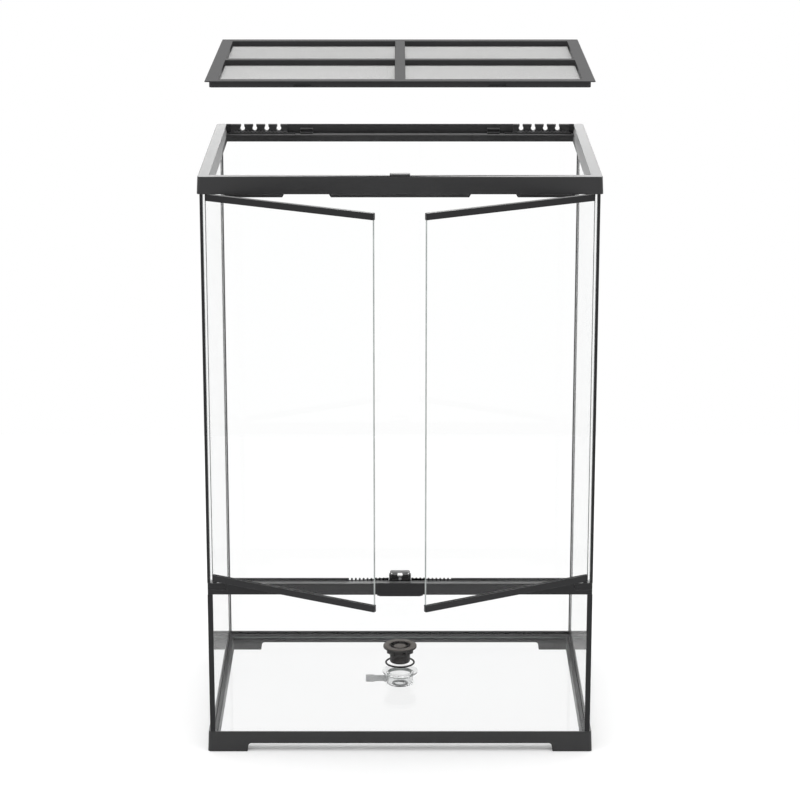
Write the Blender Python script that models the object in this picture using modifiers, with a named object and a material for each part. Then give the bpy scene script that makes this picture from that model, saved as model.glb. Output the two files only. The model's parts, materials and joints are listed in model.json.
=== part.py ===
"""Front-opening paludarium: a glass tank with a water section, twin doors, a lift-off screen lid and a floor drain.

The tank is modelled as it is set out for cleaning: the doors stand ajar, the screen lid is lifted off, and the
drain strainer and its seal are drawn out of their socket. +X is to the right, -Y to the front and +Z up, and all
lengths are in metres. The sizes and places below count from the centre of the tank's footprint, on the surface
that it stands on. The empty at that centre is moved back a little, so that the scene's origin is in the middle
of the floor space that the tank takes with its doors ajar.
"""

import math

import bmesh
import bpy
from mathutils import Euler, Matrix, Vector

# Whole tank
TANK_WIDTH = 0.610
TANK_DEPTH = 0.460
TANK_HEIGHT = 0.9264
TANK_SET_BACK = 0.0681
GAP = 0.0003
FRAME_CORNER = 0.005

# Glass panes
PANE = 0.005
FLOOR_PANE = 0.006
FRAME_PAST_SIDE = 0.0042
FRAME_PAST_BACK = 0.005
PANE_INTO_TOP = 0.0085
FRONT_PANE_SET_BACK = 0.0005
GROUND_EDGE = 0.0004

# Base frame
BASE_HEIGHT = 0.0333
BASE_RAIL = 0.0156
BASE_DRAFT = 0.0014
PANE_SEAT = 0.0192
FOOT_LENGTH = 0.061
ARCH_HEIGHT = 0.0137
ARCH_SLANT = 0.004
ARCH_FILLET = 0.004

# Top frame
TOP_HEIGHT = 0.0264
TOP_DRAFT = 0.0012
TOP_EDGE = 0.0010
TOP_SIDE_RAIL = 0.0177
TOP_FRONT_RAIL = 0.017
TOP_BACK_RAIL = 0.022
TOP_INNER_DRAFT = 0.0019
LEDGE_DROP = 0.0154
BACK_WALL = 0.0026
DOOR_STOP_DROP = 0.0068
DOOR_STOP_THICK = 0.0045
DOOR_STOP_FROM_HINGE = 0.0215
DOOR_STOP_LENGTH = 0.097
FINGER_GAP = 0.061
DOOR_STOP_SLOPE = 0.006

# Cable inlets along the back of the top frame
INLET_PITCH = 0.02003
INLET_FROM_GATE_END = 0.0192
INLETS = 4
INLET_WIDTH = 0.0074
INLET_NECK = 0.0050
INLET_DEPTH = 0.0105
INLET_STEPS = 12
GATE_WIDER = 0.0008
GATE_FROM_SIDE = 0.0073
GATE_LENGTH = 0.093
GATE_THICK = 0.0024
GATE_FOOT = (0.0074, 0.0040)
GATE_TRAVEL = 0.010
GATE_RIB_PITCH = 0.006
GATE_RIB_GROOVE = (0.003, 0.0012)
GUIDE_RIDGE = (0.0020, 0.0025)

# Clips and the latch that hold the lid down
CLIP_FROM_GATE = 0.012
CLIP_WIDTH = 0.0207
CLIP_HEIGHT = 0.0087
CLIP_DEPTH = 0.0094
CLIP_NOSE = (0.0059, 0.0025)
CLIP_FOOT = 0.0027
CLIP_BACK = 0.0024
LATCH_WIDTH = 0.0305
LATCH_HEIGHT = 0.0034
LATCH_BASE = 0.0065
LATCH_HOOK = (0.0050, 0.0013)
LATCH_SET_BACK = 0.0020
LATCH_KEY = (0.0054, 0.0050, 0.0040)
LATCH_TRAVEL = 0.005

# Middle rail between the water section and the doors
MID_TOP = 0.2825
MID_HEIGHT = 0.0189
MID_SHORT_OF_PANES = 0.0008
MID_DEPTH = 0.0175
MID_PROUD = 0.0035
PANE_INTO_MID = 0.0060
UPSTAND_HEIGHT = 0.0040
UPSTAND_THICK = 0.0025
UPSTAND_FROM_FRONT = 0.0135
UPSTAND_FROM_BLOCK = 0.011
VENT_END = 0.0805
VENT_PITCH = 0.0061
VENT_SLOT = 0.0031
VENT_DEPTH = 0.0036
BLOCK_LENGTH = 0.027
BLOCK_HEIGHT = 0.0110
COLLAR_RADIUS = 0.0035
COLLAR_HEIGHT = 0.0018
PLATE_SIZE = (0.072, 0.0210)
PLATE_THICK = 0.0012
PLATE_CHAMFER = 0.0050
PLATE_STEP = 0.0016

# Edge trims on the front edges of the side panes
UPPER_TRIM_WIDTH = 0.0044
LOWER_TRIM_WIDTH = 0.0083

# Black silicone beads in the corners between panes
BEAD = 0.0022
FLOOR_BEAD = 0.0040
BEAD_CREST = 0.0005

# Doors
DOOR_OPEN = 29.0
DOOR_PANE = 0.004
DOOR_RAIL_THICK = 0.0074
DOOR_BOTTOM_RAIL = 0.0107
DOOR_TOP_RAIL = 0.0102
DOOR_FOOT_GAP = 0.0021
DOOR_HEAD_GAP = 0.0006
DOOR_MEETING_GAP = 0.0012
DOOR_PANE_SET_BACK = 0.0010
DOOR_PANE_GRIP = 0.0043
RAIL_END_ROUND = 0.0035
RAIL_TIP_ROUND = 0.0020
HINGE_FROM_SIDE_PANE = 0.0063
HINGE_FROM_FRONT = 0.0045
PIN_RADIUS = 0.0015
PIN_IN_BLOCK = 0.0085
PIN_IN_RAIL = 0.0040
PIN_IN_FRAME = 0.0072
BUSH_WALL = 0.0012
BUSH_LENGTH = 0.0075

# Door lock on the middle rail
LOCK_WIDTH = 0.034
LOCK_FRONT_BACK = 0.0088
LOCK_BODY_HEIGHT = 0.0089
LOCK_CHEEK = 0.0027
LOCK_CHEEK_HEIGHT = 0.0102
LOCK_BEHIND_DOOR = 0.0005
LOCK_TRAVEL = 0.0043
LOCK_SIGHT_DROP = 0.0020
CATCH_INNER = 0.0040
CATCH_WIDTH = 0.0083
CATCH_REACH = 0.0038
CATCH_RISE = (0.0016, 0.0072)
CATCH_GROOVE = (0.0010, 0.0017, 0.0023)
CATCH_ROOM = 0.0007
BAR_PLATE = 0.0022
BAR_DEPTH = 0.0074
BAR_TOOTH_GAP = 0.0002
BAR_TONGUE = (0.0020, 0.0011)
SCREW_HEIGHT = 0.0036
SCREW_HEAD = (0.0024, 0.0014)
SCREW_RADIUS = 0.0013
SCREW_BOSS = (0.0065, 0.0072)
BOSS_BACK = 0.0007

# Screen lid
LID_SHORT_OF_SIDE = 0.014
LID_SHORT_OF_FRONT = 0.0145
LID_FLANGE = 0.0016
LID_OVERHANG = 0.0064
LID_HEIGHT = 0.0106
LID_CORNER = 0.004
LID_SIDE_RAIL = 0.0185
LID_END_RAIL = 0.020
LID_BAR = 0.016
LID_LIFT = 0.140
SCREEN = 0.001
SCREEN_LAP = 0.004
SCREEN_RECESS = 0.002
SCREEN_OPENINGS = (12, 8)
SCREEN_STRIP = 0.0045
LID_SLOT_FROM_CLIP = 0.0091
LID_SLOT = (0.025, 0.003, 0.003)
LID_SLOT_DROP = 0.0055

# Floor drain
DRAIN_Y = 0.050
DRAIN_STEPS = 32
SOCKET_FLANGE = 0.0295
SOCKET_FLANGE_THICK = 0.003
SOCKET_RADIUS = 0.022
SOCKET_WALL = 0.002
SOCKET_FLOOR_Z = 0.0064
SOCKET_FLOOR = 0.0018
SPOUT_RADIUS = 0.0092
SPOUT_WALL = 0.0016
SPOUT_TIP_Z = 0.0012
OUTLET_RING = 0.0130
OUTLET_RING_HEIGHT = 0.0028
SPIGOT_RADIUS = 0.0062
SPIGOT_NECK = 0.0050
SPIGOT_BORE = 0.0040
SPIGOT_REACH = 0.0576
SPIGOT_Z = 0.0124
SPIGOT_END = 0.013
SEAL_RADIUS = 0.0235
SEAL_CORD = 0.0015
SEAL_REST_Z = 0.0434
STRAINER_TOP_Z = 0.0742
STRAINER_FLANGE = 0.028
STRAINER_FLANGE_THICK = 0.0035
STRAINER_SHAFT = 0.017
STRAINER_WALL = 0.0022
STRAINER_SHAFT_LENGTH = 0.0255
STRAINER_WELL = 0.0015
STRAINER_GRATE = 0.002
GRATE_SLOTS = 16
GRATE_SLOT = (0.0090, 0.0160, 0.0028)
GRATE_SLOT_DEPTH = 0.0060
WINDOWS = 8
WINDOW = (0.006, 0.0075, 0.0085)
THREAD_TURNS = 3
THREAD_PITCH = 0.0026
THREAD_DEPTH = 0.0008
LUGS = 4
LUG = (0.0253, 0.0278, 0.007)
LUG_LENGTH = 0.005
LUG_CLEARANCE = 0.0005

# Places that follow from the sizes above
SIDE_OUTER = TANK_WIDTH / 2 - FRAME_PAST_SIDE
SIDE_INNER = SIDE_OUTER - PANE
BACK_OUTER = TANK_DEPTH / 2 - FRAME_PAST_BACK
BACK_INNER = BACK_OUTER - PANE
FRONT_OUTER = -(BACK_OUTER - FRONT_PANE_SET_BACK)
FRONT_INNER = FRONT_OUTER + PANE
PANES_BOTTOM = PANE_SEAT + GAP
FLOOR_TOP = PANES_BOTTOM + FLOOR_PANE
TOP_BOTTOM = TANK_HEIGHT - TOP_HEIGHT
PANES_TOP = TOP_BOTTOM + PANE_INTO_TOP
LEDGE_Z = TANK_HEIGHT - LEDGE_DROP
BACK_WALL_INNER = TANK_DEPTH / 2 - TOP_DRAFT - BACK_WALL
TOP_OPENING_X = TANK_WIDTH / 2 - TOP_SIDE_RAIL
TOP_OPENING_FRONT = -(TANK_DEPTH / 2 - TOP_FRONT_RAIL)
TOP_OPENING_BACK = TANK_DEPTH / 2 - TOP_BACK_RAIL
GATE_FAR = TOP_OPENING_X - GATE_FROM_SIDE
GATE_NEAR = GATE_FAR - GATE_LENGTH
INLET_FAR = GATE_FAR - INLET_FROM_GATE_END
CLIP_CENTRE = GATE_NEAR - GATE_TRAVEL - CLIP_FROM_GATE - CLIP_WIDTH / 2
MID_BOTTOM = MID_TOP - MID_HEIGHT
MID_END = SIDE_OUTER - MID_SHORT_OF_PANES
MID_FRONT = -(BACK_OUTER + MID_PROUD)
MID_BACK = MID_FRONT + MID_DEPTH
MID_STEP_Y = -(BACK_OUTER + GAP)
MID_INNER_X = SIDE_INNER - GAP
MID_GROOVE_TOP = MID_BOTTOM + PANE_INTO_MID
FRONT_PANE_TOP = MID_GROOVE_TOP - GAP
BLOCK_BOTTOM = MID_TOP - BLOCK_HEIGHT
BLOCK_INNER = MID_END - BLOCK_LENGTH
UPSTAND_END = BLOCK_INNER - UPSTAND_FROM_BLOCK
UPSTAND_FRONT = MID_FRONT + UPSTAND_FROM_FRONT
HINGE_X = SIDE_INNER - HINGE_FROM_SIDE_PANE
HINGE_Y = MID_FRONT + HINGE_FROM_FRONT
DOOR_STOP_OUTER = HINGE_X - DOOR_STOP_FROM_HINGE
DOOR_STOP_NEAR = DOOR_STOP_OUTER - DOOR_STOP_LENGTH
DOOR_STOP_INNER = DOOR_STOP_NEAR - FINGER_GAP
DOOR_BOTTOM = MID_TOP + DOOR_FOOT_GAP
DOOR_TOP = TOP_BOTTOM - DOOR_HEAD_GAP
DOOR_RAIL_LENGTH = HINGE_X - DOOR_MEETING_GAP
DOOR_PANE_LENGTH = DOOR_RAIL_LENGTH - DOOR_PANE_SET_BACK
DOOR_BACK = HINGE_Y + DOOR_RAIL_THICK / 2
DOOR_STOP_FRONT = DOOR_BACK + LOCK_BEHIND_DOOR
LOCK_FRONT = DOOR_BACK + LOCK_BEHIND_DOOR
LOCK_BACK = LOCK_FRONT + LOCK_FRONT_BACK
LOCK_BOTTOM = MID_TOP + GAP
LOCK_BODY_TOP = LOCK_BOTTOM + LOCK_BODY_HEIGHT
CATCH_BOTTOM = DOOR_BOTTOM + CATCH_RISE[0]
CATCH_TOP = DOOR_BOTTOM + CATCH_RISE[1]
CATCH_OUTER = CATCH_INNER + CATCH_WIDTH
GROOVE_FRONT = DOOR_BACK + CATCH_GROOVE[0]
GROOVE_BACK = GROOVE_FRONT + CATCH_GROOVE[1]
BOSS_FRONT = UPSTAND_FRONT + BOSS_BACK
LID_HALF_WIDTH = TANK_WIDTH / 2 - LID_SHORT_OF_SIDE
LID_HALF_DEPTH = TANK_DEPTH / 2 - LID_SHORT_OF_FRONT
LID_SLOT_CENTRE = CLIP_CENTRE - LID_SLOT_FROM_CLIP
LID_SEAT = TANK_HEIGHT + GAP
LID_TOP = LID_SEAT + LID_FLANGE
LID_BOTTOM = LID_TOP - LID_HEIGHT
SOCKET_TOP = FLOOR_TOP + GAP + SOCKET_FLANGE_THICK
SEAL_SEAT_Z = SOCKET_TOP + GAP + SEAL_CORD
STRAINER_SEAT_Z = SEAL_SEAT_Z + SEAL_CORD + GAP
STRAINER_REST_Z = STRAINER_TOP_Z - STRAINER_FLANGE_THICK
STRAINER_LIFT = STRAINER_REST_Z - STRAINER_SEAT_Z
SEAL_LIFT = SEAL_REST_Z - SEAL_SEAT_Z

CUT_PAST = 0.004
SIDES = (("left", -1), ("right", 1))


def clear_scene():
    """Remove every object of the open scene."""
    for item in list(bpy.data.objects):
        bpy.data.objects.remove(item, do_unlink=True)


def new_collection(name):
    """Return a fresh collection linked to the scene."""
    made = bpy.data.collections.new(name)
    bpy.context.scene.collection.children.link(made)
    return made


def new_material(name, colour, roughness, metallic=0.0, transmission=0.0):
    """Return a Principled material of one colour."""
    made = bpy.data.materials.new(name)
    made.use_nodes = True
    shader = made.node_tree.nodes["Principled BSDF"]
    shader.inputs["Base Color"].default_value = (*colour, 1.0)
    shader.inputs["Roughness"].default_value = roughness
    shader.inputs["Metallic"].default_value = metallic
    shader.inputs["Transmission Weight"].default_value = transmission
    made.diffuse_color = (*colour, 1.0)
    return made


def add_block(bm, low, high, top_inset=(0.0, 0.0), bottom_inset=(0.0, 0.0)):
    """Add a box between two corners to bm; an inset draws its top or bottom face in along X and Y."""
    low = Vector(low)
    high = Vector(high)
    centre = (low + high) / 2
    made = bmesh.ops.create_cube(bm, size=1.0)["verts"]
    for vert in made:
        inset = top_inset if vert.co.z > 0 else bottom_inset
        half_x = abs(high.x - low.x) / 2 - inset[0]
        half_y = abs(high.y - low.y) / 2 - inset[1]
        half_z = abs(high.z - low.z) / 2
        vert.co = centre + Vector((2 * vert.co.x * half_x, 2 * vert.co.y * half_y, 2 * vert.co.z * half_z))
    return made


def block(low, high, top_inset=(0.0, 0.0), bottom_inset=(0.0, 0.0)):
    """Return a new mesh that holds one box."""
    bm = bmesh.new()
    add_block(bm, low, high, top_inset, bottom_inset)
    return bm


def mirrored(side, near, far, y, z):
    """Return the low and high corners of a box from near to far along X on one side of the tank."""
    first = side * near
    last = side * far
    return (min(first, last), y[0], z[0]), (max(first, last), y[1], z[1])


def round_edges(bm, chosen, radius, segments):
    """Round the edges of bm that the test picks."""
    edges = [edge for edge in bm.edges if chosen(edge)]
    bmesh.ops.bevel(bm, geom=edges, offset=radius, segments=segments, profile=0.5, affect="EDGES")


def upright(edge):
    """Say whether an edge runs mainly along Z."""
    span = edge.verts[0].co - edge.verts[1].co
    return abs(span.z) > max(abs(span.x), abs(span.y))


def add_rod(bm, radius, start, end, axis="Z", centre=(0.0, 0.0), segments=16):
    """Add a closed cylinder along an axis; centre holds the two other coordinates in X, Y, Z order."""
    turn = {"X": Euler((0.0, math.pi / 2, 0.0)), "Y": Euler((-math.pi / 2, 0.0, 0.0)), "Z": Euler()}[axis]
    middle = (start + end) / 2
    place = {
        "X": (middle, centre[0], centre[1]),
        "Y": (centre[0], middle, centre[1]),
        "Z": (centre[0], centre[1], middle),
    }[axis]
    matrix = Matrix.Translation(place) @ turn.to_matrix().to_4x4()
    bmesh.ops.create_cone(
        bm, cap_ends=True, segments=segments, radius1=radius, radius2=radius, depth=abs(end - start), matrix=matrix
    )


def rod(radius, start, end, axis="Z", centre=(0.0, 0.0), segments=16):
    """Return a new mesh that holds one closed cylinder."""
    bm = bmesh.new()
    add_rod(bm, radius, start, end, axis, centre, segments)
    return bm


def extruded(points, start, end, plane="XY"):
    """Return a flat outline drawn in a plane and extruded from start to end along the plane's normal.

    The planes are XY, which extrudes along Z, YZ along X and ZX along Y.
    """
    curve = bpy.data.curves.new("outline", "CURVE")
    curve.dimensions = "2D"
    curve.fill_mode = "BOTH"
    curve.extrude = abs(end - start) / 2
    spline = curve.splines.new("POLY")
    spline.points.add(len(points) - 1)
    for point, (first, second) in zip(spline.points, points):
        point.co = (first, second, 0.0, 1.0)
    spline.use_cyclic_u = True
    guide = bpy.data.objects.new("outline", curve)
    bpy.context.scene.collection.objects.link(guide)
    graph = bpy.context.evaluated_depsgraph_get()
    filled = bpy.data.meshes.new_from_object(guide.evaluated_get(graph))
    bm = bmesh.new()
    bm.from_mesh(filled)
    bpy.data.objects.remove(guide, do_unlink=True)
    bpy.data.meshes.remove(filled)
    bmesh.ops.remove_doubles(bm, verts=bm.verts, dist=0.00001)
    turns = {"XY": "XYZ", "YZ": "YZX", "ZX": "ZXY"}[plane]
    columns = [Vector([1.0 if name == axis else 0.0 for name in "XYZ"]) for axis in turns]
    matrix = Matrix(columns).transposed().to_4x4()
    shift = Matrix.Translation(columns[2] * (start + end) / 2)
    bmesh.ops.transform(bm, matrix=shift @ matrix, verts=bm.verts)
    bmesh.ops.recalc_face_normals(bm, faces=bm.faces)
    return bm


class Workshop:
    """Places finished solids in one collection and the shapes that cut or join them in another."""

    def __init__(self):
        self.parts = new_collection("paludarium")
        self.cutters = new_collection("cutters")
        self.centre = bpy.data.objects.new("tank_centre", None)
        self.centre.location = (0.0, TANK_SET_BACK, 0.0)
        self.centre.empty_display_size = 0.05
        self.parts.objects.link(self.centre)

    def place(self, name, bm, material, parent=None, smooth=False):
        """Turn bm into a named sub-part and return its object."""
        mesh = bpy.data.meshes.new(name)
        bm.to_mesh(mesh)
        bm.free()
        mesh.materials.append(material)
        if smooth:
            mesh.shade_smooth()
            mesh.set_sharp_from_angle(angle=math.radians(35))
        made = bpy.data.objects.new(name, mesh)
        self.parts.objects.link(made)
        made.parent = parent or self.centre
        return made

    def guide(self, name, bm, parent):
        """Return an object that only cuts or joins, and is never part of the model."""
        mesh = bpy.data.meshes.new(name)
        bm.to_mesh(mesh)
        bm.free()
        made = bpy.data.objects.new(name, mesh)
        made.hide_render = True
        made.display_type = "WIRE"
        made.parent = parent
        self.cutters.objects.link(made)
        return made

    def combine(self, target, name, bm, operation="DIFFERENCE"):
        """Cut bm out of the target, or join it on with operation UNION."""
        tool = self.guide(name, bm, target.parent)
        step = target.modifiers.new(name, "BOOLEAN")
        step.operation = operation
        step.solver = "EXACT"
        step.object = tool

    def turned(self, name, profile, material, parent=None, matrix=None):
        """Turn a closed profile of radius and height round Z; it runs down its outer side."""
        mesh = bpy.data.meshes.new(name)
        bm = bmesh.new()
        verts = [bm.verts.new((radius, 0.0, height)) for radius, height in profile]
        for first, second in zip(verts, verts[1:] + verts[:1]):
            bm.edges.new((first, second))
        bm.to_mesh(mesh)
        bm.free()
        mesh.materials.append(material)
        made = bpy.data.objects.new(name, mesh)
        self.parts.objects.link(made)
        made.parent = parent or self.centre
        if matrix is not None:
            made.matrix_local = matrix
        screw = made.modifiers.new("turn", "SCREW")
        screw.steps = DRAIN_STEPS
        screw.render_steps = DRAIN_STEPS
        screw.use_merge_vertices = True
        screw.merge_threshold = 0.00001
        screw.use_smooth_shade = True
        return made

    def pivot(self, name, location, rotation=(0.0, 0.0, 0.0)):
        """Return an empty at a joint's axis, which carries the moving pieces."""
        made = bpy.data.objects.new(name, None)
        made.location = location
        made.rotation_euler = rotation
        made.empty_display_size = 0.02
        made.parent = self.centre
        self.parts.objects.link(made)
        return made

    @staticmethod
    def soften(target, width, segments=1):
        """Ease the sharp edges of a sub-part."""
        step = target.modifiers.new("edges", "BEVEL")
        step.width = width
        step.segments = segments
        step.limit_method = "ANGLE"
        step.angle_limit = math.radians(40)


def build_base_frame(shop, plastic):
    """Base frame: a ring with four feet, whose inner ledge carries every pane."""
    half_x = TANK_WIDTH / 2
    half_y = TANK_DEPTH / 2
    bm = block((-half_x, -half_y, 0.0), (half_x, half_y, BASE_HEIGHT), (BASE_DRAFT, BASE_DRAFT))
    round_edges(bm, upright, FRAME_CORNER, 4)
    frame = shop.place("base_frame", bm, plastic)
    opening_x = half_x - BASE_RAIL
    opening_y = half_y - BASE_RAIL
    over = BASE_HEIGHT + CUT_PAST
    opening = block((-opening_x, -opening_y, -CUT_PAST), (opening_x, opening_y, over))
    shop.combine(frame, "base_opening", opening)
    rebate_x = SIDE_OUTER + GAP
    rebate_y = BACK_OUTER + GAP
    rebate = block((-rebate_x, -rebate_y, PANE_SEAT), (rebate_x, rebate_y, over))
    shop.combine(frame, "base_pane_rebate", rebate)
    arch_x = half_x - FOOT_LENGTH
    arch = block(
        (-arch_x, -half_y - CUT_PAST, -ARCH_HEIGHT), (arch_x, half_y + CUT_PAST, ARCH_HEIGHT), (ARCH_SLANT, 0.0)
    )
    crown = ARCH_HEIGHT * 0.9
    round_edges(
        arch,
        lambda edge: all(vert.co.z > crown for vert in edge.verts)
        and abs(edge.verts[0].co.y - edge.verts[1].co.y) > half_y,
        ARCH_FILLET,
        4,
    )
    shop.combine(frame, "base_arches", arch)


def build_panes(shop, glass):
    """The tank's fixed panes: two sides, back, floor and the low front of the water section."""
    for word, side in SIDES:
        low, high = mirrored(side, SIDE_INNER, SIDE_OUTER, (-BACK_OUTER, BACK_OUTER), (PANES_BOTTOM, PANES_TOP))
        pane = shop.place(f"{word}_side_pane", block(low, high), glass)
        shop.soften(pane, GROUND_EDGE)
    half = SIDE_INNER - GAP
    back = block((-half, BACK_INNER, PANES_BOTTOM), (half, BACK_OUTER, PANES_TOP))
    shop.soften(shop.place("back_pane", back, glass), GROUND_EDGE)
    front = block((-half, FRONT_OUTER, PANES_BOTTOM), (half, FRONT_INNER, FRONT_PANE_TOP))
    shop.soften(shop.place("front_low_pane", front, glass), GROUND_EDGE)
    floor = block((-half, FRONT_INNER + GAP, PANES_BOTTOM), (half, BACK_INNER - GAP, FLOOR_TOP))
    pane = shop.place("floor_pane", floor, glass)
    hole = rod(
        SOCKET_RADIUS + 2 * GAP,
        PANES_BOTTOM - CUT_PAST,
        FLOOR_TOP + CUT_PAST,
        centre=(0.0, DRAIN_Y),
        segments=DRAIN_STEPS,
    )
    shop.combine(pane, "drain_hole", hole)


def build_beads(shop, silicone):
    """Silicone beads in the upright corners and round the edge of the floor."""
    above_floor = FLOOR_TOP + GAP + FLOOR_BEAD + GAP
    for word, side in SIDES:
        corner_x = side * (SIDE_INNER - GAP)
        leg_x = side * (SIDE_INNER - GAP - BEAD)
        back_y = BACK_INNER - GAP
        rear = [(corner_x, back_y), (leg_x, back_y), (corner_x, back_y - BEAD)]
        shop.place(f"{word}_back_bead", extruded(rear, above_floor, TOP_BOTTOM - GAP), silicone)
        front_y = FRONT_INNER + GAP
        fore = [(corner_x, front_y), (leg_x, front_y), (corner_x, front_y + BEAD)]
        shop.place(f"{word}_front_bead", extruded(fore, above_floor, MID_BOTTOM - GAP), silicone)
    half = SIDE_INNER - GAP
    front = FRONT_INNER + GAP
    back = BACK_INNER - GAP
    bottom = FLOOR_TOP + GAP
    top = bottom + FLOOR_BEAD
    ring = shop.place("floor_bead", block((-half, front, bottom), (half, back, top)), silicone)
    slope = (FLOOR_BEAD - BEAD_CREST) / FLOOR_BEAD
    crest = BEAD_CREST - slope * CUT_PAST
    spread = slope * (FLOOR_BEAD + 2 * CUT_PAST)
    hollow = block(
        (-half + crest, front + crest, bottom - CUT_PAST),
        (half - crest, back - crest, top + CUT_PAST),
        bottom_inset=(spread, spread),
    )
    shop.combine(ring, "floor_bead_hollow", hollow)


def stepped_outline(near, far, side=0):
    """Outline of the middle rail or of a hinge block, whose front reaches past the side panes' edges."""
    front = [(near, MID_FRONT), (far, MID_FRONT), (far, MID_STEP_Y), (MID_INNER_X, MID_STEP_Y)]
    half = front + [(MID_INNER_X, MID_BACK), (near, MID_BACK)]
    if side:
        return [(side * x, y) for x, y in half]
    right = [point for point in half if point[0] > near]
    return right + [(-x, y) for x, y in reversed(right)]


def build_middle_rail(shop, plastic):
    """Middle rail with its vent comb, the screw boss for the lock and pockets for the hinge blocks."""
    outline = stepped_outline(0.0, MID_END)
    rail = shop.place("middle_rail", extruded(outline, MID_BOTTOM, MID_TOP), plastic)
    groove = block(
        (-SIDE_INNER - CUT_PAST / 2, FRONT_OUTER - GAP, MID_BOTTOM - CUT_PAST),
        (SIDE_INNER + CUT_PAST / 2, FRONT_INNER + GAP, MID_GROOVE_TOP),
    )
    shop.combine(rail, "front_pane_groove", groove)
    pockets = bmesh.new()
    for _, side in SIDES:
        low, high = mirrored(
            side,
            BLOCK_INNER - GAP,
            MID_END + CUT_PAST,
            (MID_FRONT - CUT_PAST, MID_BACK + CUT_PAST),
            (BLOCK_BOTTOM - GAP, MID_TOP + CUT_PAST),
        )
        add_block(pockets, low, high)
    shop.combine(rail, "hinge_block_pockets", pockets)
    upstands = bmesh.new()
    upstand_y = (UPSTAND_FRONT, UPSTAND_FRONT + UPSTAND_THICK)
    upstand_z = (MID_TOP - UPSTAND_THICK, MID_TOP + UPSTAND_HEIGHT)
    inner = LOCK_WIDTH / 2 + 2 * GAP
    for _, side in SIDES:
        add_block(upstands, *mirrored(side, inner, UPSTAND_END, upstand_y, upstand_z))
    shop.combine(rail, "vent_upstands", upstands, "UNION")
    slots = bmesh.new()
    count = int((VENT_END - inner) / VENT_PITCH)
    first = VENT_END - (count - 0.5) * VENT_PITCH
    slot_y = (UPSTAND_FRONT - 0.001, UPSTAND_FRONT + UPSTAND_THICK + 0.001)
    slot_z = (MID_TOP + UPSTAND_HEIGHT - VENT_DEPTH, MID_TOP + UPSTAND_HEIGHT + CUT_PAST)
    for _, side in SIDES:
        for index in range(count):
            near = first + index * VENT_PITCH - VENT_SLOT / 2
            add_block(slots, *mirrored(side, near, near + VENT_SLOT, slot_y, slot_z))
    shop.combine(rail, "vent_slots", slots)
    boss_half, boss_height = SCREW_BOSS
    boss = block(
        (-boss_half, BOSS_FRONT, MID_TOP - UPSTAND_THICK), (boss_half, MID_BACK - GAP, MID_TOP + boss_height)
    )
    shop.combine(rail, "screw_boss", boss, "UNION")
    bore = rod(
        SCREW_RADIUS + GAP,
        BOSS_FRONT - CUT_PAST,
        MID_BACK - 0.001,
        axis="Y",
        centre=(0.0, LOCK_BOTTOM + SCREW_HEIGHT),
        segments=12,
    )
    shop.combine(rail, "screw_bore", bore)


def build_hinge_blocks(shop, plastic):
    """End blocks of the middle rail, each with a collar that carries a door and a bore for its lower pin."""
    for word, side in SIDES:
        outline = stepped_outline(BLOCK_INNER, MID_END, side)
        piece = shop.place(f"{word}_hinge_block", extruded(outline, BLOCK_BOTTOM, MID_TOP), plastic)
        centre = (side * HINGE_X, HINGE_Y)
        collar = rod(COLLAR_RADIUS, MID_TOP - 0.002, MID_TOP + COLLAR_HEIGHT, centre=centre, segments=20)
        shop.combine(piece, f"{word}_collar", collar, "UNION")
        bore_bottom = MID_TOP - PIN_IN_BLOCK - GAP
        bore = rod(PIN_RADIUS + GAP, bore_bottom, MID_TOP + CUT_PAST, centre=centre)
        shop.combine(piece, f"{word}_block_bore", bore)


def build_cover_plate(shop, plastic):
    """Plain cover plate on the middle of the middle rail; its lower corners are cut off at a slant."""
    half = PLATE_SIZE[0] / 2
    top = MID_TOP - GAP
    bottom = top - PLATE_SIZE[1]
    step = bottom + PLATE_STEP
    outline = [
        (top, -half),
        (top, half),
        (step, half),
        (bottom, half - PLATE_CHAMFER),
        (bottom, -half + PLATE_CHAMFER),
        (step, -half),
    ]
    face = MID_FRONT - GAP
    plate = shop.place("cover_plate", extruded(outline, face - PLATE_THICK, face, plane="ZX"), plastic)
    shop.soften(plate, PLATE_THICK / 4)


def build_edge_trims(shop, plastic):
    """Black strips over the front edges of the side panes, above and below the middle rail."""
    face = (MID_FRONT, MID_STEP_Y)
    spans = (
        ("upper", UPPER_TRIM_WIDTH, MID_TOP + GAP, TOP_BOTTOM - GAP),
        ("lower", LOWER_TRIM_WIDTH, BASE_HEIGHT + GAP, MID_BOTTOM - GAP),
    )
    for word, side in SIDES:
        for level, width, bottom, top in spans:
            low, high = mirrored(side, SIDE_OUTER - width, SIDE_OUTER, face, (bottom, top))
            trim = shop.place(f"{word}_{level}_trim", block(low, high), plastic)
            shop.soften(trim, GROUND_EDGE)


def cut_inlets(shop, target, word, side, widen, y):
    """Cut one side's cable notches, each a narrow way in from the top with a round bottom."""
    radius = INLET_WIDTH / 2 + widen
    half_neck = INLET_NECK / 2 + widen
    middle = TANK_HEIGHT - INLET_DEPTH + INLET_WIDTH / 2
    top = TANK_HEIGHT + CUT_PAST
    lead = math.asin(half_neck / radius)
    sweep = (math.tau - 2 * lead) / INLET_STEPS
    for index in range(INLETS):
        centre = side * (INLET_FAR - index * INLET_PITCH)
        outline = [(top, centre + half_neck)]
        for step in range(INLET_STEPS + 1):
            angle = lead + step * sweep
            outline.append((middle + radius * math.cos(angle), centre + radius * math.sin(angle)))
        outline.append((top, centre - half_neck))
        notch = extruded(outline, y[0], y[1], plane="ZX")
        shop.combine(target, f"{word}_inlet_{index + 1}", notch)


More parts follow.
